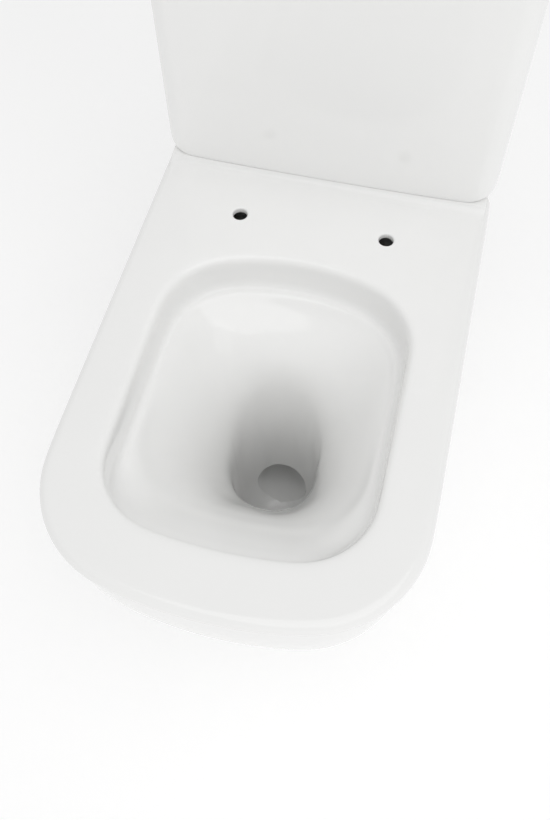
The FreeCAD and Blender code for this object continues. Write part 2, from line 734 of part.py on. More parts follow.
def make_pan():
    core = pan_core()
    pan = pan_outside().cut(pan_hollows(core))
    pan = pan.cut(pan_ways())

    def round_the_opening(e):
        box = e.BoundBox
        inside = box.YMin > OPENING_FRONT - 1 and box.YMax < OPENING_REAR + 1
        return inside and abs(box.XMin) < OPENING_HALF + 1

    pan = pan.makeFillet(OPENING_ROUND, edges_at(pan, RIM_HEIGHT, round_the_opening))
    return pan.Solids[0] if len(pan.Solids) == 1 else pan


# ================================================================ cistern and lid
def cistern_outline(inset, z):
    return outline(
        z,
        CISTERN_WIDTH / 2 - inset,
        CISTERN_FRONT + inset,
        CISTERN_BACK - inset,
        (CISTERN_FRONT_CORNER - inset, max(CISTERN_REAR_CORNER - inset, 3.0)),
        (CISTERN_FRONT_ARC - inset, FLAT_ARC),
    )


def make_cistern_body():
    body = slab(cistern_outline(0, CISTERN_BASE), CISTERN_HEIGHT)
    body = body.makeFillet(CISTERN_FOOT_ROUND, edges_at(body, CISTERN_BASE))
    cuts = [
        slab(cistern_outline(TANK_WALL, TANK_BED), CISTERN_HEIGHT),
        rod(TANK_HOLE_RADIUS, CISTERN_BASE - 1, TANK_BED + 1, 0, VALVE_Y),
        rod(FILL_HOLE_RADIUS, CISTERN_BASE - 1, TANK_BED + 1, FILL_X, VALVE_Y),
    ]
    for side in (-1, 1):
        x = side * BOLT_SPACING / 2
        cuts.append(rod(BOLT_HOLE_RADIUS, CISTERN_BASE - 1, TANK_BED + 1, x, VALVE_Y))
        start = Vector(side * WALL_HOLE_SPACING / 2, CISTERN_BACK - TANK_WALL - 1,
                       CISTERN_TOP - WALL_HOLE_DROP)
        cuts.append(Part.makeCylinder(WALL_HOLE_RADIUS, TANK_WALL + 2, start, Vector(0, 1, 0)))
    return body.cut(cuts)


def lid_outline(inset, z):
    """The lid stands out past the cistern in front and at the sides."""
    grow = LID_OVERHANG
    return outline(
        z,
        CISTERN_WIDTH / 2 + grow - inset,
        CISTERN_FRONT - grow + inset,
        CISTERN_BACK - inset,
        (CISTERN_FRONT_CORNER + grow - inset, max(CISTERN_REAR_CORNER - inset, 3.0)),
        (CISTERN_FRONT_ARC + grow - inset, FLAT_ARC),
    )


def make_cistern_lid():
    lid = slab(lid_outline(0, LID_Z), LID_HEIGHT)
    lid = lid.makeFillet(LID_CORNER_ROUND, edges_at(lid, LID_TOP))
    inside = slab(lid_outline(LID_WALL + LID_OVERHANG, LID_Z - 1), LID_HEIGHT - LID_WEB + 1)
    gap = TANK_WALL + LID_LIP_GAP
    lip = slab(cistern_outline(gap, LID_Z - LID_LIP), LID_LIP + 5)
    lip = lip.cut(slab(cistern_outline(gap + 5, LID_Z - LID_LIP - 1), LID_LIP + 8))
    hole = rod(LID_HOLE_RADIUS, LID_Z, LID_TOP + 1, 0, VALVE_Y)
    return lid.cut(inside).fuse(lip).cut(hole).removeSplitter()


# ================================================================ push button
def make_button_bezel():
    """A flanged tube through the lid, stepped inside to stop the buttons turning out."""
    top = LID_TOP + BEZEL_FLANGE
    flange = rod(BEZEL_RADIUS, LID_TOP, top, 0, VALVE_Y)
    flange = flange.makeFillet(BEZEL_FLANGE * 0.6, edges_at(flange, top))
    tube = rod(BEZEL_TUBE_RADIUS, LID_TOP - BEZEL_DROP, LID_TOP, 0, VALVE_Y)
    body = joined([flange, tube])
    return body.cut(rod(BEZEL_BORE, LID_TOP - BEZEL_DROP - 1, top + 1, 0, VALVE_Y))


def make_button_clamp_nut():
    under = LID_TOP - LID_WEB
    low = under - CLAMP_HEIGHT
    nut = ring(CLAMP_RADIUS, BEZEL_TUBE_RADIUS + THREAD_GAP, low, under, 0, VALVE_Y)
    notches = []
    for k in range(CLAMP_NOTCHES):
        turn = 2 * math.pi / CLAMP_NOTCHES * k
        x = CLAMP_RADIUS * math.cos(turn)
        y = VALVE_Y + CLAMP_RADIUS * math.sin(turn)
        notches.append(rod(CLAMP_NOTCH, low - 1, under + 1, x, y))
    return nut.cut(notches)


def make_spring_plate():
    """A disc in the bezel's bore that carries the two springs and guides the push rods."""
    low = SPRING_PLATE_TOP - SPRING_PLATE
    plate = rod(BEZEL_BORE, low, SPRING_PLATE_TOP, 0, VALVE_Y)
    holes = []
    for side in (-1, 1):
        holes.append(
            rod(ROD_RADIUS + SLIDE_GAP, low - 1, SPRING_PLATE_TOP + 1, side * ROD_OFFSET, PRESS_Y)
        )
    return plate.cut(holes)


def make_button(side):
    """One of the two buttons: -1 is the large one on the left, +1 the small one."""
    disc = rod(BEZEL_BORE - SLIDE_GAP, BUTTON_UNDER, BUTTON_TOP, 0, VALVE_Y)
    far = BEZEL_RADIUS
    edge = SPLIT_X + side * BUTTON_GAP / 2
    keep = block(
        min(edge, side * far), max(edge, side * far), VALVE_Y - far, VALVE_Y + far,
        BUTTON_UNDER, BUTTON_TOP,
    )
    plate = disc.common(keep)
    plate = plate.makeFillet(BUTTON_EDGE, edges_at(plate, BUTTON_TOP))
    boss = rod(BOSS_RADIUS, BOSS_Z, BUTTON_UNDER, side * ROD_OFFSET, PRESS_Y)
    socket = rod(ROD_RADIUS, BOSS_Z - 1, BUTTON_UNDER, side * ROD_OFFSET, PRESS_Y)
    return joined([plate, boss]).cut(socket)


def make_push_rod(side):
    low = LEVER_TOP + REST_GAP
    pin = rod(ROD_RADIUS, low, BUTTON_UNDER, side * ROD_OFFSET, PRESS_Y)
    return pin.makeFillet(ROD_RADIUS * 0.8, edges_at(pin, low))


def make_button_spring(side):
    """A coil round the push rod, between the spring plate and the button's boss."""
    low = SPRING_PLATE_TOP + SPRING_WIRE
    height = BOSS_Z - SPRING_PLATE_TOP - 2 * SPRING_WIRE
    helix = Part.makeHelix(height / SPRING_TURNS, height, SPRING_RADIUS)
    section = Part.Wire(
        [Part.makeCircle(SPRING_WIRE, Vector(SPRING_RADIUS, 0, 0), Vector(0, 1, 0))]
    )
    coil = Part.Wire(helix).makePipeShell([section], True, True)
    coil.translate(Vector(side * ROD_OFFSET, PRESS_Y, low))
    return coil


# ================================================================ flush valve
def make_valve_seat():
    """Flange, threaded tail and the raised ring that the seal closes on."""
    flange = ring(FLANGE_RADIUS, TAIL_BORE, SEAT_Z, FLANGE_TOP, 0, VALVE_Y)
    tail = ring(TAIL_RADIUS, TAIL_BORE, CISTERN_BASE - TAIL_DROP, SEAT_Z, 0, VALVE_Y)
    seat = ring(SEAT_RING_RADIUS, TAIL_BORE, FLANGE_TOP, SEAT_TOP, 0, VALVE_Y)
    return joined([flange, tail, seat])


def make_valve_washer():
    return ring(FLANGE_RADIUS, TAIL_RADIUS + 0.5, TANK_BED, SEAT_Z, 0, VALVE_Y)


def make_valve_backnut():
    low = CISTERN_BASE - BACKNUT_HEIGHT
    nut = hexagon(BACKNUT_RADIUS, low, CISTERN_BASE, 0, VALVE_Y)
    return nut.cut(rod(TAIL_RADIUS + THREAD_GAP, low - 1, CISTERN_BASE + 1, 0, VALVE_Y))


def make_valve_cage():
    """Four legs on the flange and the ring that the tower stands on."""
    reach = LEG_OUTER + 1
    wide = LEG_WIDTH / 2
    legs = ring(LEG_OUTER, LEG_INNER, FLANGE_TOP, CAGE_Z, 0, VALVE_Y)
    cross = block(-reach, reach, VALVE_Y - wide, VALVE_Y + wide, FLANGE_TOP, CAGE_Z).fuse(
        block(-wide, wide, VALVE_Y - reach, VALVE_Y + reach, FLANGE_TOP, CAGE_Z)
    )
    legs = legs.common(cross)
    top = ring(LEG_OUTER, TOWER_RADIUS - TOWER_WALL, CAGE_Z, CAGE_Z + CAGE_RING, 0, VALVE_Y)
    return joined([top, *legs.Solids])


def make_valve_tower():
    """The upright housing, its top plate and the two ears for the lever pin."""
    base = CAGE_Z + CAGE_RING
    wall = ring(TOWER_RADIUS, TOWER_RADIUS - TOWER_WALL, base, TOWER_TOP, 0, VALVE_Y)
    plate = ring(TOWER_RADIUS, TUBE_RADIUS + SLIDE_GAP, TOWER_TOP - PLATE, TOWER_TOP, 0, VALVE_Y)
    ears = []
    for side in (-1, 1):
        inner = side * EAR_INSIDE
        outer = side * (EAR_INSIDE + EAR_THICKNESS)
        ears.append(
            block(min(inner, outer), max(inner, outer), LEVER_Y - LEVER_EYE, LEVER_Y + LEVER_EYE,
                  TOWER_TOP - PLATE, LEVER_Z + LEVER_EYE)
        )
    guide_y = HOOK_Y + HOOK_THICKNESS + SLIDE_GAP
    guide = block(
        ROD_OFFSET - GUIDE_HALF, ROD_OFFSET + GUIDE_HALF,
        VALVE_Y + TOWER_RADIUS - 2 * GUIDE_WALL, guide_y + GUIDE_WALL,
        TOWER_TOP - PLATE, TOWER_TOP,
    )
    slot = block(
        ROD_OFFSET - GUIDE_SLOT_HALF, ROD_OFFSET + GUIDE_SLOT_HALF, HOOK_Y - SLIDE_GAP, guide_y,
        TOWER_TOP - PLATE - 1, TOWER_TOP + 1,
    )
    windows = []
    front = VALVE_Y - TOWER_RADIUS - 1
    for k in range(WINDOWS):
        z = base + WINDOW_START + WINDOW_PITCH * k
        windows.append(block(-WINDOW_HALF, WINDOW_HALF, front, VALVE_Y, z, z + WINDOW_HEIGHT))
    bore = pin_bore(PIN_RADIUS)
    return joined([wall, plate, guide.cut(slot), *ears]).cut([*windows, bore])


def pin_bore(radius):
    reach = EAR_INSIDE + EAR_THICKNESS + 2 * PIN_END
    return Part.makeCylinder(radius, 2 * reach, Vector(-reach, LEVER_Y, LEVER_Z), Vector(1, 0, 0))


def make_lever_pin():
    reach = EAR_INSIDE + EAR_THICKNESS + PIN_END
    return Part.makeCylinder(
        PIN_RADIUS, 2 * reach, Vector(-reach, LEVER_Y, LEVER_Z), Vector(1, 0, 0)
    )


def make_flush_lever(side):
    """A rocker on the pin: the push rod presses its front, its nose lifts a hook behind."""
    x0 = side * ROD_OFFSET - LEVER_WIDTH / 2
    x1 = x0 + LEVER_WIDTH
    front = PRESS_Y - ROD_RADIUS - 2
    back = LEVER_Y + NOSE_ARM
    beam = block(x0, x1, front, back, LEVER_Z - LEVER_HALF, LEVER_TOP)
    ends = [e for e in beam.Edges if abs(e.BoundBox.XLength - LEVER_WIDTH) < EXACT]
    beam = beam.makeFillet(LEVER_HALF * 0.8, ends)
    start = Vector(x0, LEVER_Y, LEVER_Z)
    eye = Part.makeCylinder(LEVER_EYE - 1, LEVER_WIDTH, start, Vector(1, 0, 0))
    return joined([beam, eye]).cut(pin_bore(PIN_RADIUS + PIN_GAP))


def hook(side, low):
    """An upright strip behind a lever's nose, with a finger over the nose."""
    x0 = side * ROD_OFFSET - HOOK_HALF
    x1 = side * ROD_OFFSET + HOOK_HALF
    back = HOOK_Y + HOOK_THICKNESS
    top = LEVER_TOP + REST_GAP + HOOK_THICKNESS
    strip = block(x0, x1, HOOK_Y, back, low, top)
    finger = block(x0, x1, HOOK_Y - HOOK_FINGER, back, LEVER_TOP + REST_GAP, top)
    return joined([strip, finger])


def make_lift_tube():
    """The overflow tube, which lifts the seal: a foot disc, a tube, and its hook."""
    foot = SEAT_TOP + REST_GAP + SEAL_THICKNESS
    top = TOWER_TOP + TUBE_TOP
    arm_low = top - ARM_DEPTH
    tube = rod(TUBE_RADIUS, foot, top, 0, VALVE_Y)
    disc = rod(SEAL_RADIUS - 2, foot, foot + TUBE_FOOT, 0, VALVE_Y)
    x = -ROD_OFFSET
    back = HOOK_Y + HOOK_THICKNESS
    arm = block(x - HOOK_HALF, x + HOOK_HALF, VALVE_Y, back, arm_low, top)
    bore = rod(TUBE_RADIUS - TUBE_WALL, foot - 1, top + 1, 0, VALVE_Y)
    return joined([tube, disc, arm, hook(-1, arm_low)]).cut(bore)


def make_flush_seal():
    low = SEAT_TOP + REST_GAP
    bore = TUBE_RADIUS - TUBE_WALL
    return ring(SEAL_RADIUS, bore, low, low + SEAL_THICKNESS, 0, VALVE_Y)


def make_half_float():
    """The small float that ends the half flush, hung on its strip behind the tower."""
    x = ROD_OFFSET
    top = LEVER_Z - HALF_FLOAT_DROP
    y = HOOK_Y + HALF_FLOAT_BACK
    cup = rod(HALF_FLOAT_RADIUS, top - HALF_FLOAT_HEIGHT, top, x, y)
    cup = cup.makeFillet(TUBE_WALL, edges_at(cup, top - HALF_FLOAT_HEIGHT))
    inner = HALF_FLOAT_RADIUS - TUBE_WALL
    hollow = rod(inner, top - HALF_FLOAT_HEIGHT - 1, top - TUBE_WALL, x, y)
    strip_z = LEVER_TOP - STRIP_TOP
    strip = hook(1, strip_z)
    back = HOOK_Y + HOOK_THICKNESS
    narrow = block(x - STRIP_HALF, x + STRIP_HALF, HOOK_Y, back, top - 1, strip_z + 1)
    return joined([cup.cut(hollow), narrow, strip])


# ================================================================ close coupling
def make_coupling_gasket():
    """A foam ring in the deck's cup, round the valve's tail and its nut."""
    nut_reach = BACKNUT_RADIUS / math.cos(math.pi / 6) + GASKET_GAP
    nut_low = CISTERN_BASE - BACKNUT_HEIGHT - GASKET_GAP
    outer = CUP_RADIUS - GASKET_GAP
    inner = TAIL_RADIUS + GASKET_GAP
    return lathe(
        [
            (inner, CUP_Z),
            (outer, CUP_Z),
            (outer, CISTERN_BASE),
            (nut_reach, CISTERN_BASE),
            (nut_reach, nut_low),
            (inner, nut_low),
        ],
        0,
        VALVE_Y,
    )


CONE_TOP = TANK_BED + CONE_HEIGHT
DECK_UNDER = RIM_HEIGHT - RIM_TOP
RUBBER_LOW = DECK_UNDER - RUBBER_WASHER
METAL_LOW = RUBBER_LOW - METAL_WASHER
NUT_LOW = METAL_LOW - WING_NUT_HEIGHT


def coupling_bolt(x):
    head = rod(BOLT_HEAD_RADIUS, CONE_TOP, CONE_TOP + BOLT_HEAD_HEIGHT, x, VALVE_Y)
    top = CONE_TOP + BOLT_HEAD_HEIGHT
    half = SCREW_SLOT / 2
    reach = BOLT_HEAD_RADIUS + 1
    slot = block(x - half, x + half, VALVE_Y - reach, VALVE_Y + reach, top - SCREW_SLOT, top + 1)
    shank = rod(BOLT_RADIUS, NUT_LOW - BOLT_TAIL, CONE_TOP, x, VALVE_Y)
    return joined([head, shank]).cut(slot)


def cone_washer(x):
    bore = BOLT_RADIUS + THREAD_GAP
    return lathe(
        [
            (bore, TANK_BED),
            (CONE_RADIUS, TANK_BED),
            (CONE_RADIUS - CONE_TAPER, CONE_TOP),
            (bore, CONE_TOP),
        ],
        x,
        VALVE_Y,
    )


def rubber_washer(x):
    return ring(WASHER_RADIUS, BOLT_RADIUS + THREAD_GAP, RUBBER_LOW, DECK_UNDER, x, VALVE_Y)


def metal_washer(x):
    return ring(WASHER_RADIUS, BOLT_RADIUS + THREAD_GAP, METAL_LOW, RUBBER_LOW, x, VALVE_Y)


def wing_nut(x):
    hub = rod(WING_NUT_RADIUS, NUT_LOW, METAL_LOW, x, VALVE_Y)
    wings = block(
        x - WING_SPAN, x + WING_SPAN, VALVE_Y - WING_HALF, VALVE_Y + WING_HALF,
        NUT_LOW, METAL_LOW - 1,
    )
    bore = rod(BOLT_RADIUS + THREAD_GAP, NUT_LOW - 1, METAL_LOW + 1, x, VALVE_Y)
    return joined([hub, wings]).cut(bore)


# ================================================================ fill valve
def make_fill_valve_body():
    """Threaded shank, flange, riser and valve head, with the lug for the arm."""
    flange_z = TANK_BED + FILL_WASHER
    shank = rod(SHANK_RADIUS, CISTERN_BASE - SHANK_DROP, flange_z, FILL_X, VALVE_Y)
    flange = rod(FILL_FLANGE_RADIUS, flange_z, flange_z + FILL_FLANGE, FILL_X, VALVE_Y)
    riser = rod(RISER_RADIUS, flange_z + FILL_FLANGE, HEAD_Z, FILL_X, VALVE_Y)
    head = rod(HEAD_RADIUS, HEAD_Z, HEAD_Z + HEAD_HEIGHT, FILL_X, VALVE_Y)
    lug = block(
        ARM_X - LUG_HALF, FILL_X, ARM_Y + ARM_THICKNESS / 2 + SIDE_GAP, VALVE_Y - LUG_HALF + 1,
        ARM_Z - LUG_HALF, ARM_Z + LUG_HALF,
    )
    outlet_top = HEAD_Z + OUTLET_GAP
    half = OUTLET_GAP / 2
    bore = rod(SHANK_BORE, CISTERN_BASE - SHANK_DROP - 1, outlet_top, FILL_X, VALVE_Y)
    outlet = block(
        FILL_X, FILL_X + HEAD_RADIUS + 1, VALVE_Y - half, VALVE_Y + half, HEAD_Z, outlet_top
    )
    relief_z = CISTERN_BASE - SHANK_DROP + SHANK_TAIL
    relief = ring(
        SHANK_RADIUS + 1, SHANK_RADIUS - RELIEF_DEPTH, relief_z, relief_z + SHANK_RELIEF,
        FILL_X, VALVE_Y,
    )
    pin = arm_bore(PIN_RADIUS)
    return joined([shank, flange, riser, head, lug]).cut([bore, outlet, relief, pin])


def arm_bore(radius):
    start = Vector(ARM_X, ARM_Y - PIN_HEAD_RADIUS, ARM_Z)
    return Part.makeCylinder(radius, PIN_DEPTH, start, Vector(0, 1, 0))


def make_fill_valve_cap():
    low = HEAD_Z + HEAD_HEIGHT
    cap = rod(CAP_RADIUS, low, low + CAP_HEIGHT, FILL_X, VALVE_Y)
    return cap.makeFillet(CAP_ROUND, edges_at(cap, low + CAP_HEIGHT))


def make_fill_washer():
    return ring(
        FILL_FLANGE_RADIUS, SHANK_RADIUS + 0.3, TANK_BED, TANK_BED + FILL_WASHER, FILL_X, VALVE_Y
    )


def make_fill_backnut():
    low = CISTERN_BASE - FILL_NUT_HEIGHT
    nut = hexagon(FILL_NUT_RADIUS, low, CISTERN_BASE, FILL_X, VALVE_Y)
    return nut.cut(rod(SHANK_RADIUS + THREAD_GAP, low - 1, CISTERN_BASE + 1, FILL_X, VALVE_Y))


def make_float_arm():
    """From its pivot to a fork round the float's rod."""
    half = ARM_THICKNESS / 2
    fork = FLOAT_ROD_X - FORK_BACK
    end = FLOAT_ROD_X + FORK_END
    beam = block(ARM_X - ARM_THICKNESS, fork, ARM_Y - half, ARM_Y + half, ARM_Z - half, ARM_Z + half)
    start = Vector(ARM_X, ARM_Y - half, ARM_Z)
    eye = Part.makeCylinder(EYE_RADIUS, ARM_THICKNESS, start, Vector(0, 1, 0))
    low = fork - FORK_ROOT
    tip = block(low, end, ARM_Y - FORK_HALF, ARM_Y + FORK_HALF, ARM_Z - half, ARM_Z + half)
    gap = FLOAT_ROD_RADIUS + SLIDE_GAP
    slot = block(fork, end + 1, ARM_Y - gap, ARM_Y + gap, ARM_Z - half - 1, ARM_Z + half + 1)
    return joined([beam, eye, tip]).cut([slot, arm_bore(PIN_RADIUS + PIN_GAP)])


def make_arm_pin():
    front = ARM_Y - ARM_THICKNESS / 2 - SIDE_GAP
    length = ARM_THICKNESS + 2 * SIDE_GAP + PIN_RUN
    way = Vector(0, 1, 0)
    shank = Part.makeCylinder(PIN_RADIUS, length, Vector(ARM_X, front, ARM_Z), way)
    head = Part.makeCylinder(
        PIN_HEAD_RADIUS, PIN_HEAD, Vector(ARM_X, front - PIN_HEAD, ARM_Z), way
    )
    return joined([shank, head])


def make_float_cup():
    """An open bottomed float, closed round the riser."""
    top = FLOAT_Z + FLOAT_HEIGHT
    body = ring(FLOAT_RADIUS, FLOAT_BORE, FLOAT_Z, top, FILL_X, VALVE_Y)
    hollow = ring(
        FLOAT_RADIUS - FLOAT_WALL, FLOAT_BORE + FLOAT_WALL, FLOAT_Z - 1, top - FLOAT_WALL, FILL_X,
        VALVE_Y,
    )
    return body.cut(hollow)


def make_float_rod():
    """Stands on the float, with a collar under and over the arm's fork."""
    low = FLOAT_Z + FLOAT_HEIGHT
    reach = ARM_THICKNESS / 2 + COLLAR_GAP
    top = ARM_Z + reach + COLLAR
    shapes = [rod(FLOAT_ROD_RADIUS, low, top + COLLAR, FLOAT_ROD_X, ARM_Y)]
    for z in (ARM_Z - reach - COLLAR, ARM_Z + reach):
        shapes.append(rod(COLLAR_RADIUS, z, z + COLLAR, FLOAT_ROD_X, ARM_Y))
    return joined(shapes)


# ================================================================ all pieces
PIECES = {
    "pan": make_pan,
    "cistern_body": make_cistern_body,
    "cistern_lid": make_cistern_lid,
    "button_bezel": make_button_bezel,
    "button_clamp_nut": make_button_clamp_nut,
    "spring_plate": make_spring_plate,
    "full_flush_button": lambda: make_button(-1),
    "half_flush_button": lambda: make_button(1),
    "full_push_rod": lambda: make_push_rod(-1),
    "half_push_rod": lambda: make_push_rod(1),
    "full_button_spring": lambda: make_button_spring(-1),
    "half_button_spring": lambda: make_button_spring(1),
    "valve_seat": make_valve_seat,
    "valve_washer": make_valve_washer,
    "valve_backnut": make_valve_backnut,
    "valve_cage": make_valve_cage,
    "valve_tower": make_valve_tower,
    "lever_pin": make_lever_pin,
    "full_flush_lever": lambda: make_flush_lever(-1),
    "half_flush_lever": lambda: make_flush_lever(1),
    "lift_tube": make_lift_tube,
    "flush_seal": make_flush_seal,
    "half_flush_float": make_half_float,
    "coupling_gasket": make_coupling_gasket,
    "coupling_bolts": lambda: pair(coupling_bolt, BOLT_SPACING / 2),
    "cone_washers": lambda: pair(cone_washer, BOLT_SPACING / 2),
    "rubber_washers": lambda: pair(rubber_washer, BOLT_SPACING / 2),
    "metal_washers": lambda: pair(metal_washer, BOLT_SPACING / 2),
    "wing_nuts": lambda: pair(wing_nut, BOLT_SPACING / 2),
    "fill_valve_body": make_fill_valve_body,
    "fill_valve_cap": make_fill_valve_cap,
    "fill_washer": make_fill_washer,
    "fill_backnut": make_fill_backnut,
    "float_arm": make_float_arm,
    "arm_pin": make_arm_pin,
    "float_cup": make_float_cup,
    "float_rod": make_float_rod,
}


def main():
    os.makedirs("parts", exist_ok=True)
    for node, make in PIECES.items():
        shape = make()
        print(node, shape.isValid(), len(shape.Solids), round(shape.Volume))
        shape.exportStep("parts/" + node + ".step")


if __name__ == "__main__":
    main()
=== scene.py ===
import json
import math

import bmesh
import bpy
from bpy.props import FloatProperty, PointerProperty
from mathutils import Matrix, Vector


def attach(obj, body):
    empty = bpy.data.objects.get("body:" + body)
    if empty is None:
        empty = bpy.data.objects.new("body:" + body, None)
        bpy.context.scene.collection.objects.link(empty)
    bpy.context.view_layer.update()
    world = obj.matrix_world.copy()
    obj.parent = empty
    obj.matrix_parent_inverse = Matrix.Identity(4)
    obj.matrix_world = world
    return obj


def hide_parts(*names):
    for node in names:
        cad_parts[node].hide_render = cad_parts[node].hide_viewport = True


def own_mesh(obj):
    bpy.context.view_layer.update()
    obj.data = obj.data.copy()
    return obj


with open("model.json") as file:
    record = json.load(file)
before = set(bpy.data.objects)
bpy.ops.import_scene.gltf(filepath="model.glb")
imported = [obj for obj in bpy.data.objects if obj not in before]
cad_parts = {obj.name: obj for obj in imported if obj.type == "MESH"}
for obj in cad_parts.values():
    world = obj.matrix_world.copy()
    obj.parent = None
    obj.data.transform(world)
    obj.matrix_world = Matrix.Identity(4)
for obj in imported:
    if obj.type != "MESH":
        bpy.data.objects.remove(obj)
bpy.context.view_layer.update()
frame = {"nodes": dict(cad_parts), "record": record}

bl_info = {
    "name": "Close Coupled Toilet",
    "version": (1, 0, 0),
    "blender": (4, 5, 0),
    "location": "3D View > Sidebar > Toilet",
    "description": "Builds the looks of a rimless close coupled toilet over its CAD frame",
    "category": "Object",
}

MM = 0.001

# ---------------------------------------------------------------- datums, mm
SEAT_LINE = 99.5              # line through the seat fixing holes
RIM_TOP = 400.0
RIM_HALF = 176.0
RIM_FRONT = -424.0            # from the seat line, as all places in the pan's plans along Y
DECK_END = 97.0
FOOT_BACK = 84.0
OPENING_HALF = 123.5
OPENING_FRONT = -364.0
OPENING_REAR = -50.0
OPENING_CORNERS = (70.0, 75.0)
OPENING_ARCS = (460.0, 230.0)
NEARLY_STRAIGHT = 4000.0      # plan radius of a rear edge
WALL = 12.0                   # thickness of the china
DECK_WALL = 14.0
LIP_UNDER = -16.0             # underside of the rim's lip, from the rim's top
CISTERN_BASE = 406.0
CISTERN_TOP = 751.0
CISTERN_HALF = 177.0
CISTERN_FRONT = 159.5
CISTERN_BACK = 324.5
CISTERN_FRONT_ARC = 5000.0
TANK_BED = 417.0
TANK_WALL = 9.0
LID_Z = 751.4
LID_TOP = 783.4
LID_HOLE = 29.0
VALVE_Y = 242.0
FILL_X = -128.0
BOLT_X = 75.0
BOLT_HOLE = 6.0
SEAT_HOLE_X = 77.5
SEAT_HOLE = 7.6
OUTLET_Z = 180.0
OUTLET_RADIUS = 51.0
SUMP_Y = -66.5
SUMP_Z = 66.0
TRAP_RADIUS = 32.0
TRAP_BEND = 58.0
TRAP_LEVEL = 66.0             # from the sump's middle to the corner of the trap's path
WEIR_Y = 104.5
TAIL_END = 313.5
LUG_X = 114.0
LUG_Y = 119.5
LUG_RADIUS = 18.0
LUG_HEIGHT = 24.0
BUTTON_X = 11.0               # push rods, springs and bosses
PRESS_Y = 232.0
BUTTON_TOP = LID_TOP + 2.5
BUTTON_PLATE = 4.0
SPRING_LOW = LID_TOP - 27.0
SPRING_LENGTH = 18.0
CAMERA_PLACE = (0.12099, -0.50660, 1.09756)   # metres

# points along one half of a plan outline, from the middle of its front to that of its rear
FRONT_ARC, FRONT_CORNER, SIDE, REAR_CORNER, REAR_ARC = 4, 7, 5, 5, 3
HALF_COUNT = FRONT_ARC + FRONT_CORNER + SIDE + REAR_CORNER + REAR_ARC


# ================================================================ materials
def linear(code):
    """An sRGB hex colour as linear RGBA."""
    parts = [int(code[k:k + 2], 16) / 255 for k in (0, 2, 4)]
    return [c / 12.92 if c <= 0.04045 else ((c + 0.055) / 1.055) ** 2.4 for c in parts] + [1.0]


def add(tree, kind, links=None, **values):
    """Adds a node. Links are {socket: output}; values are its settings or its sockets' values."""
    node = tree.nodes.new(kind)
    for key, value in values.items():
        if hasattr(node, key):
            setattr(node, key, value)
        else:
            node.inputs[key.replace("_", " ")].default_value = value
    for key, output in (links or {}).items():
        tree.links.new(output, node.inputs[key])
    return node


def surface(name):
    """A new material with its Principled node and its object coordinates."""
    material = bpy.data.materials.new(name)
    material.use_nodes = True
    tree = material.node_tree
    shader = tree.nodes["Principled BSDF"]
    place = add(tree, "ShaderNodeTexCoord").outputs["Object"]
    return material, tree, shader, place


def noise(tree, place, size_mm, detail=2.0, stretch=None):
    """Noise whose features are about size_mm across; stretch scales it along X, Y and Z."""
    if stretch:
        turned = add(tree, "ShaderNodeMapping", {"Vector": place})
        turned.inputs["Scale"].default_value = stretch
        place = turned.outputs["Vector"]
    node = add(tree, "ShaderNodeTexNoise", {"Vector": place}, Scale=1 / (size_mm * MM))
    node.inputs["Detail"].default_value = detail
    return node.outputs["Fac"]


def spread(tree, factor, low, high):
    """Maps a 0.3 to 0.7 noise onto the numbers from low to high."""
    node = add(tree, "ShaderNodeMapRange", {"Value": factor})
    node.inputs["From Min"].default_value = 0.3
    node.inputs["From Max"].default_value = 0.7
    node.inputs["To Min"].default_value = low
    node.inputs["To Max"].default_value = high
    return node.outputs["Result"]


def tint(tree, factor, low, high):
    """Blends two hex colours."""
    node = add(tree, "ShaderNodeMix", data_type="RGBA")
    tree.links.new(factor, node.inputs["Factor"])
    node.inputs["A"].default_value = linear(low)
    node.inputs["B"].default_value = linear(high)
    return node.outputs["Result"]


def bump(tree, shader, factor, height_mm, below=None):
    """Relief of a real height, over an earlier one if there is one."""
    node = add(tree, "ShaderNodeBump", {"Height": factor})
    node.inputs["Distance"].default_value = height_mm * MM
    if below:
        tree.links.new(below, node.inputs["Normal"])
    tree.links.new(node.outputs["Normal"], shader.inputs["Normal"])
    return node.outputs["Normal"]


def glazed_china():
    """Glassy white glaze: faint waves catch the light, the foot's ring is bare and dull."""
    material, tree, shader, place = surface("glazed_vitreous_china")
    height = add(tree, "ShaderNodeSeparateXYZ", {"Vector": place}).outputs["Z"]
    bare = add(tree, "ShaderNodeMapRange", {"Value": height})
    bare.inputs["From Min"].default_value = 3.5 * MM
    bare.inputs["From Max"].default_value = 1.5 * MM
    glaze = tint(tree, noise(tree, place, 90.0), "F5F5F4", "F8F8F7")
    colour = add(tree, "ShaderNodeMix", data_type="RGBA")
    tree.links.new(bare.outputs["Result"], colour.inputs["Factor"])
    tree.links.new(glaze, colour.inputs["A"])
    colour.inputs["B"].default_value = linear("D8D1C4")
    tree.links.new(colour.outputs["Result"], shader.inputs["Base Color"])
    shine = add(tree, "ShaderNodeMath", operation="MULTIPLY_ADD")
    tree.links.new(bare.outputs["Result"], shine.inputs[0])
    shine.inputs[1].default_value = 0.6
    tree.links.new(spread(tree, noise(tree, place, 25.0), 0.06, 0.10), shine.inputs[2])
    tree.links.new(shine.outputs["Value"], shader.inputs["Roughness"])
    wave = bump(tree, shader, noise(tree, place, 70.0, 0.0), 0.25)
    bump(tree, shader, noise(tree, place, 7.0, 0.0), 0.006, wave)
    return material


def chrome_plate():
    """Bright plating: a cool mirror with faint wiping marks."""
    material, tree, shader, place = surface("bright_chrome_plate")
    shader.inputs["Metallic"].default_value = 1.0
    tree.links.new(tint(tree, noise(tree, place, 12.0), "D3D6DA", "DDE0E3"),
                   shader.inputs["Base Color"])
    tree.links.new(spread(tree, noise(tree, place, 6.0, 4.0), 0.05, 0.13),
                   shader.inputs["Roughness"])
    bump(tree, shader, noise(tree, place, 0.6, 2.0, (1, 12, 1)), 0.002)
    return material


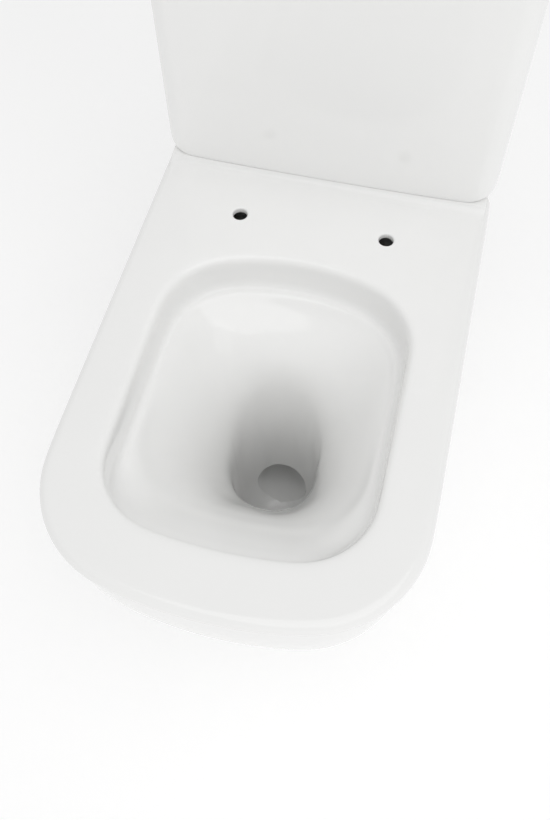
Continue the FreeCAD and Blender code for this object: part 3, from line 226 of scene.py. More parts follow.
def moulded(name, dark, light, rough, grain_mm, clear=0.0):
    """Moulded plastic: a satin skin, cloudy where it flowed, with the tool's fine grain."""
    material, tree, shader, place = surface(name)
    tree.links.new(tint(tree, noise(tree, place, 14.0, 3.0), dark, light),
                   shader.inputs["Base Color"])
    tree.links.new(spread(tree, noise(tree, place, 5.0), rough - 0.06, rough + 0.08),
                   shader.inputs["Roughness"])
    shader.inputs["Transmission Weight"].default_value = clear
    shader.inputs["Subsurface Weight"].default_value = 0.15 if clear == 0 else 0.0
    shader.inputs["Subsurface Scale"].default_value = 1.5 * MM
    bump(tree, shader, noise(tree, place, grain_mm), 0.02)
    return material


def rubber(name, dark, light, rough, pore_mm, depth_mm):
    """Rubber or foam: dull, dusted lighter here and there, with pores of its real size."""
    material, tree, shader, place = surface(name)
    tree.links.new(tint(tree, noise(tree, place, 9.0, 4.0), dark, light),
                   shader.inputs["Base Color"])
    tree.links.new(spread(tree, noise(tree, place, 3.0), rough - 0.08, rough + 0.08),
                   shader.inputs["Roughness"])
    cells = add(tree, "ShaderNodeTexVoronoi", {"Vector": place}, Scale=1 / (pore_mm * MM))
    bump(tree, shader, cells.outputs["Distance"], depth_mm)
    return material


def plain_metal(name, dark, light, low, high, stretch):
    """Drawn or plated steel: fine lines along the draw, uneven shine."""
    material, tree, shader, place = surface(name)
    shader.inputs["Metallic"].default_value = 1.0
    tree.links.new(tint(tree, noise(tree, place, 4.0, 3.0), dark, light),
                   shader.inputs["Base Color"])
    tree.links.new(spread(tree, noise(tree, place, 2.5, 3.0, stretch), low, high),
                   shader.inputs["Roughness"])
    bump(tree, shader, noise(tree, place, 0.5, 2.0, stretch), 0.008)
    return material


FINISHES = {
    # slot of the record: how its finish is made
    "china": glazed_china,
    "chrome_button": chrome_plate,
    "white_plastic": lambda: moulded("white_polypropylene", "DEDEDA", "E9E9E5", 0.38, 0.8),
    "grey_plastic": lambda: moulded("grey_acetal", "8A8E93", "9BA0A5", 0.32, 0.8),
    "blue_plastic": lambda: moulded("blue_polypropylene", "2F5E9E", "3C6DAE", 0.36, 0.8),
    "clear_plastic": lambda: moulded("natural_polypropylene", "DDE3E3", "EDF1F0", 0.22, 1.2, 0.45),
    "black_rubber": lambda: rubber("black_moulded_rubber", "1C1C1D", "2B2B2C", 0.62, 0.7, 0.02),
    "seal_rubber": lambda: rubber("red_silicone", "9E2A1E", "B53A2B", 0.42, 0.7, 0.01),
    "foam": lambda: rubber("closed_cell_foam", "2A2A2B", "3A3A3B", 0.85, 1.1, 0.25),
    "steel": lambda: plain_metal("drawn_stainless", "B9B9B6", "C9C9C5", 0.18, 0.32, (1, 1, 8)),
    "zinc": lambda: plain_metal("zinc_plated_steel", "B5B6AE", "CCCDC6", 0.25, 0.45, (1, 1, 1)),
}


def finish(slot):
    """The material of a slot, made once."""
    if slot not in finish.made:
        finish.made[slot] = FINISHES[slot]()
    return finish.made[slot]


finish.made = {}


# ================================================================ mesh helpers
def eased(points, radius, steps=3, closed=True):
    """Rounds the corners of a polygon of 2-D points."""
    result = []
    count = len(points)
    for k, here in enumerate(points):
        if not closed and k in (0, count - 1):
            result.append(here)
            continue
        p = Vector(here)
        a = Vector(points[k - 1]) - p
        b = Vector(points[(k + 1) % count]) - p
        reach = min(radius, a.length * 0.45, b.length * 0.45)
        start = p + a.normalized() * reach
        end = p + b.normalized() * reach
        for s in range(steps + 1):
            t = s / steps
            q = start * (1 - t) ** 2 + p * (2 * t * (1 - t)) + end * t * t
            result.append((q.x, q.y))
    return result


def skin(bm, rings, ends=True):
    """Extrudes a closed loop of points from each ring to the next; all have the same count."""
    layer = bm.verts.layers.int.get("at") or bm.verts.layers.int.new("at")
    count = len(rings[0])
    made = bmesh.ops.create_circle(bm, segments=count, radius=1.0)["verts"]
    made.sort(key=lambda v: math.atan2(v.co.y, v.co.x) % math.tau)
    for k, v in enumerate(made):
        v[layer] = k
        v.co = Vector(rings[0][k]) * MM
    edges = list({e for v in made for e in v.link_edges})
    if ends:
        bmesh.ops.contextual_create(bm, geom=edges)
    for ring in rings[1:]:
        geom = bmesh.ops.extrude_edge_only(bm, edges=edges)["geom"]
        fresh = {g for g in geom if isinstance(g, bmesh.types.BMVert)}
        for v in fresh:
            v.co = Vector(ring[v[layer]]) * MM
        edges = [
            g for g in geom
            if isinstance(g, bmesh.types.BMEdge) and g.verts[0] in fresh and g.verts[1] in fresh
        ]
    if ends:
        bmesh.ops.contextual_create(bm, geom=edges)
    else:
        bmesh.ops.remove_doubles(bm, verts=bm.verts, dist=1e-7)


def turned(bm, profile, x=0.0, y=0.0, steps=64):
    """Spins (radius, z) points about an upright axis; the profile is closed."""
    verts = [bm.verts.new(((x + r) * MM, y * MM, z * MM)) for r, z in profile]
    edges = [bm.edges.new((a, b)) for a, b in zip(verts, verts[1:] + verts[:1])]
    bmesh.ops.spin(bm, geom=verts + edges, cent=(x * MM, y * MM, 0), axis=(0, 0, 1),
                   angle=math.tau, steps=steps, use_merge=True)
    bmesh.ops.remove_doubles(bm, verts=bm.verts, dist=1e-7)


def cylinder(bm, radius, start, end, steps=48):
    """A capped cylinder between two points."""
    a = Vector(start) * MM
    b = Vector(end) * MM
    turn = Vector((0, 0, 1)).rotation_difference(b - a).to_matrix().to_4x4()
    matrix = Matrix.Translation((a + b) / 2) @ turn
    bmesh.ops.create_cone(bm, cap_ends=True, segments=steps, radius1=radius * MM,
                          radius2=radius * MM, depth=(b - a).length, matrix=matrix)


def block(bm, low, high, round_mm=0.0):
    """A box between two corners, with rounded edges."""
    a = Vector(low) * MM
    b = Vector(high) * MM
    matrix = Matrix.Translation((a + b) / 2) @ Matrix.Diagonal((b - a).to_4d())
    made = bmesh.ops.create_cube(bm, size=1.0, matrix=matrix)["verts"]
    if round_mm:
        edges = {e for v in made for e in v.link_edges}
        bmesh.ops.bevel(bm, geom=list(edges), offset=round_mm * MM, segments=3, profile=0.5,
                        affect="EDGES", material=-1)


def new_object(name, bm, slot="china", angle=40.0):
    """A mesh object at the origin, shaded smooth up to the given angle."""
    bmesh.ops.recalc_face_normals(bm, faces=bm.faces)
    mesh = bpy.data.meshes.new(name)
    bm.to_mesh(mesh)
    bm.free()
    obj = bpy.data.objects.new(name, mesh)
    bpy.context.scene.collection.objects.link(obj)
    mesh.materials.append(finish(slot))
    mesh.shade_smooth()
    mesh.set_sharp_from_angle(angle=math.radians(angle))
    return obj


def shape(name, build, *args):
    """An object from one function that fills a bmesh."""
    bm = bmesh.new()
    build(bm, *args)
    return new_object(name, bm)


def bake(obj):
    """Makes the result of the modifiers the object's own mesh."""
    bpy.context.view_layer.update()
    graph = bpy.context.evaluated_depsgraph_get()
    mesh = bpy.data.meshes.new_from_object(obj.evaluated_get(graph))
    old = obj.data
    obj.modifiers.clear()
    obj.data = mesh
    bpy.data.meshes.remove(old)
    mesh.name = obj.name


def subdivide(obj, levels=2):
    """Smooths a skin between its rings."""
    modifier = obj.modifiers.new("soft", "SUBSURF")
    modifier.levels = levels
    modifier.render_levels = levels
    bake(obj)


def combine(obj, others, operation):
    """Unites obj with the others, or cuts them out of it, and deletes them."""
    group = bpy.data.collections.new("working")
    bpy.context.scene.collection.children.link(group)
    for other in others:
        group.objects.link(other)
        bpy.context.scene.collection.objects.unlink(other)
    modifier = obj.modifiers.new("combine", "BOOLEAN")
    modifier.operand_type = "COLLECTION"
    modifier.collection = group
    modifier.operation = operation
    modifier.solver = "EXACT"
    bake(obj)
    for other in others:
        bpy.data.meshes.remove(other.data)
    bpy.data.collections.remove(group)


def finish_shading(obj, angle=40.0):
    """Even normals over the cut edges."""
    obj.data.shade_smooth()
    obj.data.set_sharp_from_angle(angle=math.radians(angle))
    modifier = obj.modifiers.new("normals", "WEIGHTED_NORMAL")
    modifier.keep_sharp = True
    modifier.weight = 50


def deliver(obj, body, nodes):
    """Hands a finished piece to the frame."""
    if not obj.data.polygons:
        raise RuntimeError(f"{obj.name} has no faces")
    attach(obj, body)
    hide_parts(*nodes)


# ================================================================ plan outlines
def plan(half, front, rear, corners, arcs):
    """A closed outline as (x, y) points: straight sides, corner radii and an arc at each end."""

    def end(tip, arc, corner, way, arc_steps, corner_steps):
        centre = tip - way * arc
        cx = half - corner
        cy = centre + way * math.sqrt((arc - corner) ** 2 - cx * cx)
        lean = math.asin(cx / (arc - corner))
        points = []
        for k in range(arc_steps + 1):
            turn = lean * k / arc_steps
            points.append((arc * math.sin(turn), centre + way * arc * math.cos(turn)))
        for k in range(1, corner_steps + 1):
            turn = lean + (math.pi / 2 - lean) * k / corner_steps
            points.append((cx + corner * math.sin(turn), cy + way * corner * math.cos(turn)))
        return points

    ahead = end(front, arcs[0], corners[0], -1, FRONT_ARC, FRONT_CORNER)
    behind = end(rear, arcs[1], corners[1], 1, REAR_ARC, REAR_CORNER)
    start, stop = ahead[-1][1], behind[-1][1]
    side = [(half, start + (stop - start) * k / SIDE) for k in range(1, SIDE)]
    right = ahead + side + behind[::-1]
    left = [(-x, y) for x, y in right[-2:0:-1]]
    return right + left


def smooth(t):
    """Eases 0 to 1, and stays there outside."""
    t = min(max(t, 0.0), 1.0)
    return t * t * (3 - 2 * t)


def end_shares():
    """How much each point of a plan belongs to its front and to its rear."""
    shares = []
    for k in range(HALF_COUNT + 1):
        front = 1 - smooth((k - FRONT_ARC) / FRONT_CORNER)
        rear = smooth((k - FRONT_ARC - FRONT_CORNER - SIDE) / REAR_CORNER)
        shares.append((front, rear))
    return shares + shares[-2:0:-1]


def level_ring(outline, front_z, side_z, rear_z):
    """Gives the plan one height in front, one at the sides and one behind."""
    ring = []
    for (x, y), (front, rear) in zip(outline, end_shares()):
        z = front * front_z + rear * rear_z + (1 - front - rear) * side_z
        ring.append((x, y + SEAT_LINE, RIM_TOP + z))
    return ring


def flat_ring(outline, z):
    """The plan at one height from the rim's top."""
    return level_ring(outline, z, z, z)


def swept_ring(outline, front_z, side_z, rear_z):
    """As level_ring, with the height changing evenly from front to rear."""
    low = min(y for x, y in outline)
    high = max(y for x, y in outline)
    ring = []
    for x, y in outline:
        u = (y - low) / (high - low)
        z = (front_z * (1 - u) * (1 - 2 * u) + side_z * 4 * u * (1 - u)
             + rear_z * u * (2 * u - 1))
        ring.append((x, y + SEAT_LINE, RIM_TOP + z))
    return ring


# ================================================================ pan
def rim_plan(inset):
    """The rim and deck from above."""
    return plan(RIM_HALF - inset, RIM_FRONT + inset, DECK_END - inset,
                (110.0 - inset, max(18.0 - inset, 4.0)), (420.0 - inset, NEARLY_STRAIGHT))


def opening_plan(outset, front=0.0):
    """The opening in the rim, grown by outset; front moves its front edge back."""
    return plan(OPENING_HALF + outset, OPENING_FRONT - outset + front, OPENING_REAR + outset,
                [corner + outset for corner in OPENING_CORNERS],
                [arc + outset for arc in OPENING_ARCS])


BODY_TOP = 384.0
BODY_ROWS = (
    # height, half width, front, front corner: the casting's outside under the rim
    (0.0, 104.0, -258.0, 60.0),
    (28.0, 101.0, -262.0, 60.0),
    (61.0, 100.0, -270.0, 60.0),
    (96.0, 102.0, -285.0, 63.0),
    (130.0, 106.0, -302.0, 66.0),
    (161.0, 114.0, -322.0, 71.0),
    (192.0, 124.5, -345.0, 78.0),
    (222.0, 137.0, -371.0, 86.0),
    (253.0, 149.0, -395.0, 93.0),
    (280.0, 158.5, -408.0, 97.0),
    (307.0, 164.5, -413.0, 99.0),
    (332.0, 167.0, -415.2, 101.0),
    (353.0, 167.7, -415.8, 102.0),
    (374.0, 168.0, -416.0, 102.0),
)


def body_plan(row, inset):
    """The body from above at a row's height."""
    height, half, front, corner = row
    rear = FOOT_BACK + 5.0 * height / BODY_TOP
    return plan(half - inset, front + inset, rear - inset, (corner - inset, 24.0 - inset),
                (412.0 - inset, NEARLY_STRAIGHT))


BOWL_ROWS = (
    # half width, front, rear, corners, arcs, height in front, at the sides and behind
    (107.0, -307.0, -70.5, 66.0, 68.0, 400.0, 200.0, -70.0, -51.5, -50.0),
    (99.0, -297.0, -79.5, 63.0, 63.0, 340.0, 178.0, -84.5, -65.0, -55.5),
    (90.0, -286.0, -89.5, 60.0, 57.0, 285.0, 160.0, -100.5, -83.0, -61.5),
    (80.0, -275.0, -99.0, 57.0, 52.0, 235.0, 140.0, -119.0, -104.0, -68.5),
    (71.0, -264.0, -107.5, 54.0, 48.0, 185.0, 122.0, -139.0, -126.0, -77.0),
    (63.0, -253.5, -113.8, 50.0, 44.5, 145.0, 108.0, -161.0, -147.0, -86.5),
    (57.0, -244.0, -118.3, 47.5, 42.5, 115.0, 96.0, -181.5, -166.0, -97.0),
    (53.0, -236.5, -121.2, 46.0, 41.0, 95.0, 87.0, -198.5, -181.0, -109.0),
    (50.8, -231.5, -123.4, 45.0, 40.0, 84.0, 80.0, -211.0, -193.5, -123.0),
    (49.6, -228.6, -125.0, 44.0, 39.5, 78.0, 75.0, -219.5, -206.0, -147.0),
    (48.6, -226.8, -126.8, 43.0, 39.0, 74.0, 71.0, -230.0, -220.0, -180.0),
    (48.0, -225.0, -128.0, 42.5, 38.5, 73.0, 70.0, -246.0, -240.0, -212.0),
    (47.2, -221.0, -128.8, 42.0, 38.0, 72.0, 69.0, -268.0, -264.0, -250.0),
    (45.5, -213.0, -129.2, 41.0, 37.5, 68.0, 66.0, -302.0, -302.0, -302.0),
    (43.0, -208.0, -131.0, 39.0, 36.0, 63.0, 61.0, -330.0, -330.0, -330.0),
    (38.0, -202.0, -136.0, 34.0, 32.5, 53.0, 51.0, -350.0, -350.0, -350.0),
    (29.0, -193.5, -145.0, 26.0, 24.5, 41.0, 39.0, -363.0, -363.0, -363.0),
    (15.0, -180.5, -157.5, 13.0, 12.5, 21.0, 20.0, -369.0, -369.0, -369.0),
)


def bowl_ring(row, outset=0.0):
    """A ring of the bowl, grown by outset."""
    half, front, rear, cf, cr, af, ar, zf, zs, zr = row
    outline = plan(half + outset, front - outset, rear + outset, (cf + outset, cr + outset),
                   (af + 2 * outset, ar + 2 * outset))
    return swept_ring(outline, zf - outset / 2, zs - outset / 2, zr - outset / 2)


LEDGE_ROWS = (
    # inset and height in front, at the sides and behind: wall, ledge and its soft crest
    (2.0, -5.4, 0.1, -13.0, 0.1, -13.0),
    (6.0, -9.6, 0.4, -22.0, 0.4, -22.0),
    (11.5, -15.4, 1.0, -31.0, 1.0, -31.5),
    (18.0, -22.8, 2.2, -37.3, 2.6, -38.6),
    (25.0, -30.8, 4.2, -40.6, 5.4, -41.9),
    (32.0, -39.2, 6.6, -41.0, 9.0, -41.2),
    (39.5, -48.4, 9.0, -41.8, 12.2, -41.8),
    (47.5, -58.4, 12.0, -45.2, 15.8, -45.0),
)


def ledge_ring(row, outset=0.0):
    """A ring of the opening's wall or of the ledge, grown by outset."""
    ahead, front_z, inset, side_z, behind, rear_z = row
    corners = (OPENING_CORNERS[0] - 0.3 * inset + outset,
               OPENING_CORNERS[1] - 0.5 * inset + outset)
    outline = plan(OPENING_HALF - inset + outset, OPENING_FRONT + ahead - outset,
                   OPENING_REAR - behind + outset, corners,
                   (OPENING_ARCS[0], OPENING_ARCS[1] + outset))
    return level_ring(outline, front_z, side_z, rear_z)


def lip_rings():
    """The rim from the body's top, round its edge and over the flat to the opening."""
    rows = (
        # inset and height: underside, round the edge, flat
        (8.0, LIP_UNDER - 1.5), (7.8, LIP_UNDER + 0.1), (5.0, LIP_UNDER + 0.2),
        (2.0, LIP_UNDER + 1.0), (0.4, LIP_UNDER + 3.2), (0.0, -9.5), (0.5, -6.4), (2.2, -3.0), (5.0, -0.8),
        (9.0, 0.0), (16.0, 0.0), (30.0, 0.0),
    )
    rings = [flat_ring(rim_plan(inset), z) for inset, z in rows]
    edge = (
        # outset, height in front and elsewhere: the opening's soft edge
        (18.0, 0.0, 0.0), (9.5, -0.1, 0.0), (5.0, -0.8, -0.6), (2.0, -2.0, -2.8),
        (0.4, -3.6, -6.8),
    )
    for outset, front_z, z in edge:
        rings.append(level_ring(opening_plan(outset, 1.0), front_z, z, z))
    return rings


def pan_shell(bm):
    """The hollow casting: inside of the foot, outside, rim, and down into the sump."""
    rings = [bowl_ring(row, WALL) for row in BOWL_ROWS[::-2]]
    rings += [ledge_ring(row, WALL) for row in LEDGE_ROWS[::-3]]
    rings.append(flat_ring(opening_plan(WALL), -DECK_WALL - 4.0))
    rings.append(flat_ring(opening_plan(WALL + 3.0), -DECK_WALL))
    rings.append(flat_ring(rim_plan(WALL + 11.0), -DECK_WALL))
    for row in BODY_ROWS[::-2]:
        rings.append(flat_ring(body_plan(row, WALL), row[0] + 1.0 - RIM_TOP))
    foot = BODY_ROWS[0]
    for inset, height in ((WALL, 0.0), (WALL - 3.0, 0.0), (2.0, 0.0), (0.0, 2.0)):
        rings.append(flat_ring(body_plan(foot, inset), height - RIM_TOP))
    for row in BODY_ROWS[1:]:
        rings.append(flat_ring(body_plan(row, 0.0), row[0] - RIM_TOP))
    rings += lip_rings()
    rings += [ledge_ring(row) for row in LEDGE_ROWS]
    rings += [bowl_ring(row) for row in BOWL_ROWS]
    skin(bm, rings)


def trap_rings(radius, start, lean=0.0):
    """The trapway: level at the dip from start, where its first ring may lean, up the rise
    and over the weir."""
    low = Vector((0, SUMP_Y + TRAP_LEVEL, SUMP_Z))
    weir = Vector((0, WEIR_Y, OUTLET_Z))
    turn = math.atan2(weir.z - low.z, weir.y - low.y)
    reach = TRAP_BEND * math.tan(turn / 2)
    steps, sides = 6, 32

    path = [(Vector((0, start, SUMP_Z)), lean)]
    for corner, way in ((low, 1), (weir, -1)):
        for k in range(steps + 1):
            a = turn * (k if way == 1 else steps - k) / steps
            offset = Vector((0, TRAP_BEND * math.sin(a) - reach, TRAP_BEND * (1 - math.cos(a))))
            path.append((corner + way * offset, a))
    path.append((weir + Vector((0, 60.0, 0)), 0.0))

    rings = []
    for centre, a in path:
        ring = []
        for k in range(sides):
            t = math.tau * k / sides
            up = radius * math.sin(t)
            ring.append((radius * math.cos(t), centre.y - up * math.sin(a),
                         centre.z + up * math.cos(a)))
        rings.append(ring)
    return rings


def step_profile():
    """Side view of the raised step under the cistern, with its hollow front."""
    toe, top, back = 150.5, CISTERN_BASE, 191.5
    return [(toe - 3, RIM_TOP - 2), (toe - 3, RIM_TOP - 0.2), (toe, RIM_TOP + 0.1),
            (toe + 3.5, RIM_TOP + 0.6), (toe + 6.5, RIM_TOP + 1.8), (toe + 8.6, RIM_TOP + 3.6),
            (toe + 10, top - 0.4), (toe + 12, top), (back - 2, top), (back, top - 2),
            (back, RIM_TOP - 2)]


def pan_step(bm):
    """The step across the deck, its ends eased down."""
    half = RIM_HALF - 5.0
    rows = [(half, 1.5), (half - 0.5, 0.5), (half - 2.0, 0.0)]
    rings = []
    for x, drop in rows + [(-x, drop) for x, drop in rows[::-1]]:
        rings.append([(x, y, z - drop if z > RIM_TOP else z) for y, z in step_profile()])
    skin(bm, rings)


def column_rings():
    """Sections of the column that carries the tail deck, wider towards its top."""
    rings = []
    for z, half, rear in ((160.0, 46.0, 217.5), (240.0, 49.0, 241.5), (386.0, 52.0, 303.5)):
        corners = eased([(-half, 143.5), (half, 143.5), (half, rear), (-half, rear)], 14.0)
        rings.append([(x, y, z) for x, y in corners])
    return rings


def lug(bm, x):
    """A round lug for a floor screw."""
    cylinder(bm, LUG_RADIUS, (x, LUG_Y, 0), (x, LUG_Y, LUG_HEIGHT))
    top = [e for e in bm.edges if all(v.co.z > (LUG_HEIGHT - 0.1) * MM for v in e.verts)]
    bmesh.ops.bevel(bm, geom=top, offset=3.0 * MM, segments=3, profile=0.5, affect="EDGES",
                    material=-1)


def pan_additions():
    """What joins the shell: tail deck, step, column, trapway, flush duct, spigot and lugs."""
    return [
        shape("tail", block, (-105, 163.5, 355), (105, TAIL_END, RIM_TOP), 5.0),
        shape("tail_step", block, (-100, 170, 395), (100, TAIL_END - 5, CISTERN_BASE), 1.5),
        shape("step", pan_step),
        shape("column", skin, column_rings()),
        shape("trap", skin, trap_rings(TRAP_RADIUS + WALL, SUMP_Y + 31.0, -0.4)),
        shape("duct", block, (-39, 56, 325), (39, VALVE_Y, 367), 4.0),
        shape("root", cylinder, OUTLET_RADIUS + 2.5, (0, 126.5, OUTLET_Z), (0, 253.5, OUTLET_Z)),
        shape("spigot", cylinder, OUTLET_RADIUS, (0, 250, OUTLET_Z), (0, TAIL_END, OUTLET_Z)),
        shape("lug_left", lug, -LUG_X),
        shape("lug_right", lug, LUG_X),
        shape("foot_left", block, (-LUG_X, LUG_Y - LUG_RADIUS, 0),
              (-96, LUG_Y + LUG_RADIUS, LUG_HEIGHT), 2.0),
        shape("foot_right", block, (96, LUG_Y - LUG_RADIUS, 0),
              (LUG_X, LUG_Y + LUG_RADIUS, LUG_HEIGHT), 2.0),
    ]


def flared_hole(bm, radius, x, y, low, high, flare):
    """A round cutter that opens with a soft edge at its top."""
    profile = [(0.0, low), (radius, low), (radius, high - flare)]
    for k in range(1, 6):
        a = math.pi / 2 * k / 5
        profile.append((radius + flare * (1 - math.cos(a)), high - flare + flare * math.sin(a)))
    edge = radius + flare
    profile += [(edge + 0.5, high + 0.05), (edge + 0.5, high + 4.0), (0.0, high + 4.0)]
    turned(bm, profile, x, y, 48)


def pan_cuts():
    """Holes and ways that are cut through the casting."""
    cuts = [
        shape("trap_bore", skin, trap_rings(TRAP_RADIUS, SUMP_Y + 5.0)),
        shape("outlet_bore", cylinder, OUTLET_RADIUS - 7.0, (0, 140, OUTLET_Z),
              (0, TAIL_END + 2, OUTLET_Z)),
        shape("cup", cylinder, 49.0, (0, VALVE_Y, 382), (0, VALVE_Y, 410)),
        shape("slot", block, (-30, 47, 352), (30, 66, 357.6)),
        shape("inlet", cylinder, 26.0, (0, VALVE_Y, 334), (0, VALVE_Y, 384)),
        shape("way", block, (-30, 61, 334), (30, VALVE_Y, 358)),
    ]
    for side in (-1, 1):
        seat, bolt, screw = side * SEAT_HOLE_X, side * BOLT_X, side * LUG_X
        cuts += [
            shape("seat_hole", flared_hole, SEAT_HOLE, seat, SEAT_LINE, 370, RIM_TOP, 2.2),
            shape("seat_seating", cylinder, 16.0, (seat, SEAT_LINE, 370), (seat, SEAT_LINE, 394)),
            shape("bolt_hole", cylinder, BOLT_HOLE, (bolt, VALVE_Y, 380), (bolt, VALVE_Y, 410)),
            shape("lug_hole", cylinder, 5.0, (screw, LUG_Y, -2), (screw, LUG_Y, 30)),
        ]
    return cuts


# ================================================================ cistern
def tank_plan(inset, end_inset=None):
    """The cistern's outline; end_inset is for its front and rear where they differ."""
    ends = inset if end_inset is None else end_inset
    return plan(CISTERN_HALF - inset, CISTERN_FRONT + ends, CISTERN_BACK - ends,
                (max(24.0 - ends, 4.0), max(12.0 - ends, 3.0)),
                (CISTERN_FRONT_ARC, NEARLY_STRAIGHT))


def at(outline, z):
    """The plan at a height over the floor."""
    return [(x, y, z) for x, y in outline]


def tank_shell(bm):
    """The open tank: its floor and inside, its top edge, its outside and its base."""
    wall = TANK_WALL
    rows = (
        # inset at the sides, in front and behind, height: from inside the floor, round the top
        (60.0, 60.0, TANK_BED), (14.0, 14.0, TANK_BED), (11.0, 11.0, TANK_BED + 1.0),
        (wall, wall, TANK_BED + 5.0), (wall, wall, TANK_BED + 80.0),
        (wall, wall, CISTERN_TOP - 60.0), (wall, wall, CISTERN_TOP - 4.0), (7.8, 7.8, CISTERN_TOP - 0.8),
        (5.5, 5.5, CISTERN_TOP), (3.5, 3.5, CISTERN_TOP), (1.2, 1.2, CISTERN_TOP - 0.8),
        (0.0, 0.0, CISTERN_TOP - 4.0),
        (0.0, 0.0, CISTERN_TOP - 60.0), (0.0, 0.0, CISTERN_BASE + 110.0),
        (0.0, 0.0, CISTERN_BASE + 40.0), (0.0, 0.0, CISTERN_BASE + 18.0),
        (0.5, 0.0, CISTERN_BASE + 9.0), (2.2, 0.0, CISTERN_BASE + 4.0),
        (4.6, 0.1, CISTERN_BASE + 1.5), (7.4, 0.5, CISTERN_BASE + 0.4),
        (10.0, 1.2, CISTERN_BASE), (60.0, 60.0, CISTERN_BASE),
    )
    skin(bm, [at(tank_plan(side, end), z) for side, end, z in rows])


def tank_cuts():
    """Holes for the valves and the coupling bolts in the floor, for wall screws behind."""
    cuts = [
        shape("valve_hole", cylinder, 30.5, (0, VALVE_Y, 400), (0, VALVE_Y, 425)),
        shape("fill_hole", cylinder, 12.0, (FILL_X, VALVE_Y, 400), (FILL_X, VALVE_Y, 425)),
    ]
    for side in (-1, 1):
        bolt = side * BOLT_X
        cuts.append(shape("bolt_hole", cylinder, BOLT_HOLE, (bolt, VALVE_Y, 400),
                          (bolt, VALVE_Y, 425)))
        cuts.append(shape("wall_hole", cylinder, 4.0, (side * 95, 310, CISTERN_TOP - 50),
                          (side * 95, 330, CISTERN_TOP - 50)))
    return cuts


def lid_plan(inset):
    """The lid from above; it stands a little over the tank's front and sides."""
    grow = 2.5 - inset
    return plan(CISTERN_HALF + grow, CISTERN_FRONT - grow, CISTERN_BACK - inset,
                (max(24.0 + grow, 4.0), max(12.0 - inset, 3.0)),
                (CISTERN_FRONT_ARC, NEARLY_STRAIGHT))


def round_plan(radius):
    """A circle about the push button, its points spread as those of a plan are."""
    ring = []
    for x, y in lid_plan(0.0):
        way = Vector((x, y - VALVE_Y)).normalized() * radius
        ring.append((way.x, way.y + VALVE_Y))
    return ring


def lid_shell(bm):
    """The lid, hollow beneath, from the button's hole round its underside and top."""
    hole = LID_HOLE
    web = LID_TOP - 9.0
    rings = [
        at(round_plan(hole), LID_TOP - 1.5), at(round_plan(hole), web + 1.0),
        at(round_plan(hole), web), at(round_plan(hole + 2), web),
        at(round_plan(hole + 30), web), at(lid_plan(20.0), web), at(lid_plan(15.0), web - 0.6),
        at(lid_plan(13.6), web - 3.0), at(lid_plan(13.5), web - 12.0),
        at(lid_plan(13.5), LID_Z + 3), at(lid_plan(13.0), LID_Z - 5.2),
        at(lid_plan(12.6), LID_Z - 6.0), at(lid_plan(11.0), LID_Z - 6.0),
        at(lid_plan(10.6), LID_Z - 5.2), at(lid_plan(10.5), LID_Z - 0.6),
        at(lid_plan(9.8), LID_Z), at(lid_plan(3.0), LID_Z), at(lid_plan(0.8), LID_Z + 0.4),
        at(lid_plan(0.0), LID_Z + 2.5), at(lid_plan(0.0), LID_Z + 12.0),
        at(lid_plan(0.0), LID_TOP - 9.0), at(lid_plan(0.5), LID_TOP - 5.0),
        at(lid_plan(2.2), LID_TOP - 2.0), at(lid_plan(5.0), LID_TOP - 0.5),
        at(lid_plan(9.5), LID_TOP), at(lid_plan(25.0), LID_TOP),
        at(round_plan(hole + 30), LID_TOP), at(round_plan(hole + 6), LID_TOP),
        at(round_plan(hole + 1.6), LID_TOP - 0.1), at(round_plan(hole + 0.3), LID_TOP - 0.6),
        at(round_plan(hole), LID_TOP - 1.5),
    ]
    skin(bm, rings, ends=False)


# ================================================================ push button
def bezel(bm):
    """Flanged tube: a rounded flange, a threaded outside and a plain bore."""
    top = LID_TOP + 3.0
    low = LID_TOP - 33.0
    profile = [(25.5, low), (25.5, top - 0.5), (26.0, top), (31.5, top)]
    for k in range(1, 6):
        a = math.pi / 2 * k / 5
        profile.append((31.5 + 2.4 * math.sin(a), top - 2.4 * (1 - math.cos(a))))
    profile += [(34.0, LID_TOP + 0.3), (33.6, LID_TOP), (27.5, LID_TOP)]
    z = LID_TOP - 8.0
    while z > low + 3.0:
        profile += [(27.5, z), (26.9, z - 0.7), (26.9, z - 1.0), (27.5, z - 1.7)]
        z -= 2.0
    profile += [(27.5, low + 0.6), (27.0, low)]
    turned(bm, profile, 0, VALVE_Y, 96)


def button(bm, side):
    """Half of the split disc, its edges rounded, with the boss for the push rod."""
    under = BUTTON_TOP - BUTTON_PLATE
    edge = 5.0 + side * 0.2
    made = bmesh.ops.create_circle(bm, cap_ends=True, segments=96, radius=25.1 * MM,
                                   matrix=Matrix.Translation((0, VALVE_Y * MM, under * MM)))
    geom = made["verts"] + list(bm.edges) + list(bm.faces)
    bmesh.ops.bisect_plane(bm, geom=geom, plane_co=(edge * MM, 0, 0), plane_no=(-side, 0, 0),
                           clear_outer=True)
    face = bmesh.ops.extrude_face_region(bm, geom=list(bm.faces))["geom"]
    lifted = [g for g in face if isinstance(g, bmesh.types.BMVert)]
    bmesh.ops.translate(bm, verts=lifted, vec=(0, 0, BUTTON_PLATE * MM))
    rim = [e for e in bm.edges if all(v.co.z > (BUTTON_TOP - 0.01) * MM for v in e.verts)]
    bmesh.ops.bevel(bm, geom=rim, offset=0.8 * MM, segments=4, profile=0.5, affect="EDGES",
                    material=-1)
    x = side * BUTTON_X
    cylinder(bm, 4.6, (x, PRESS_Y, under - 7.5), (x, PRESS_Y, under + 1), 32)


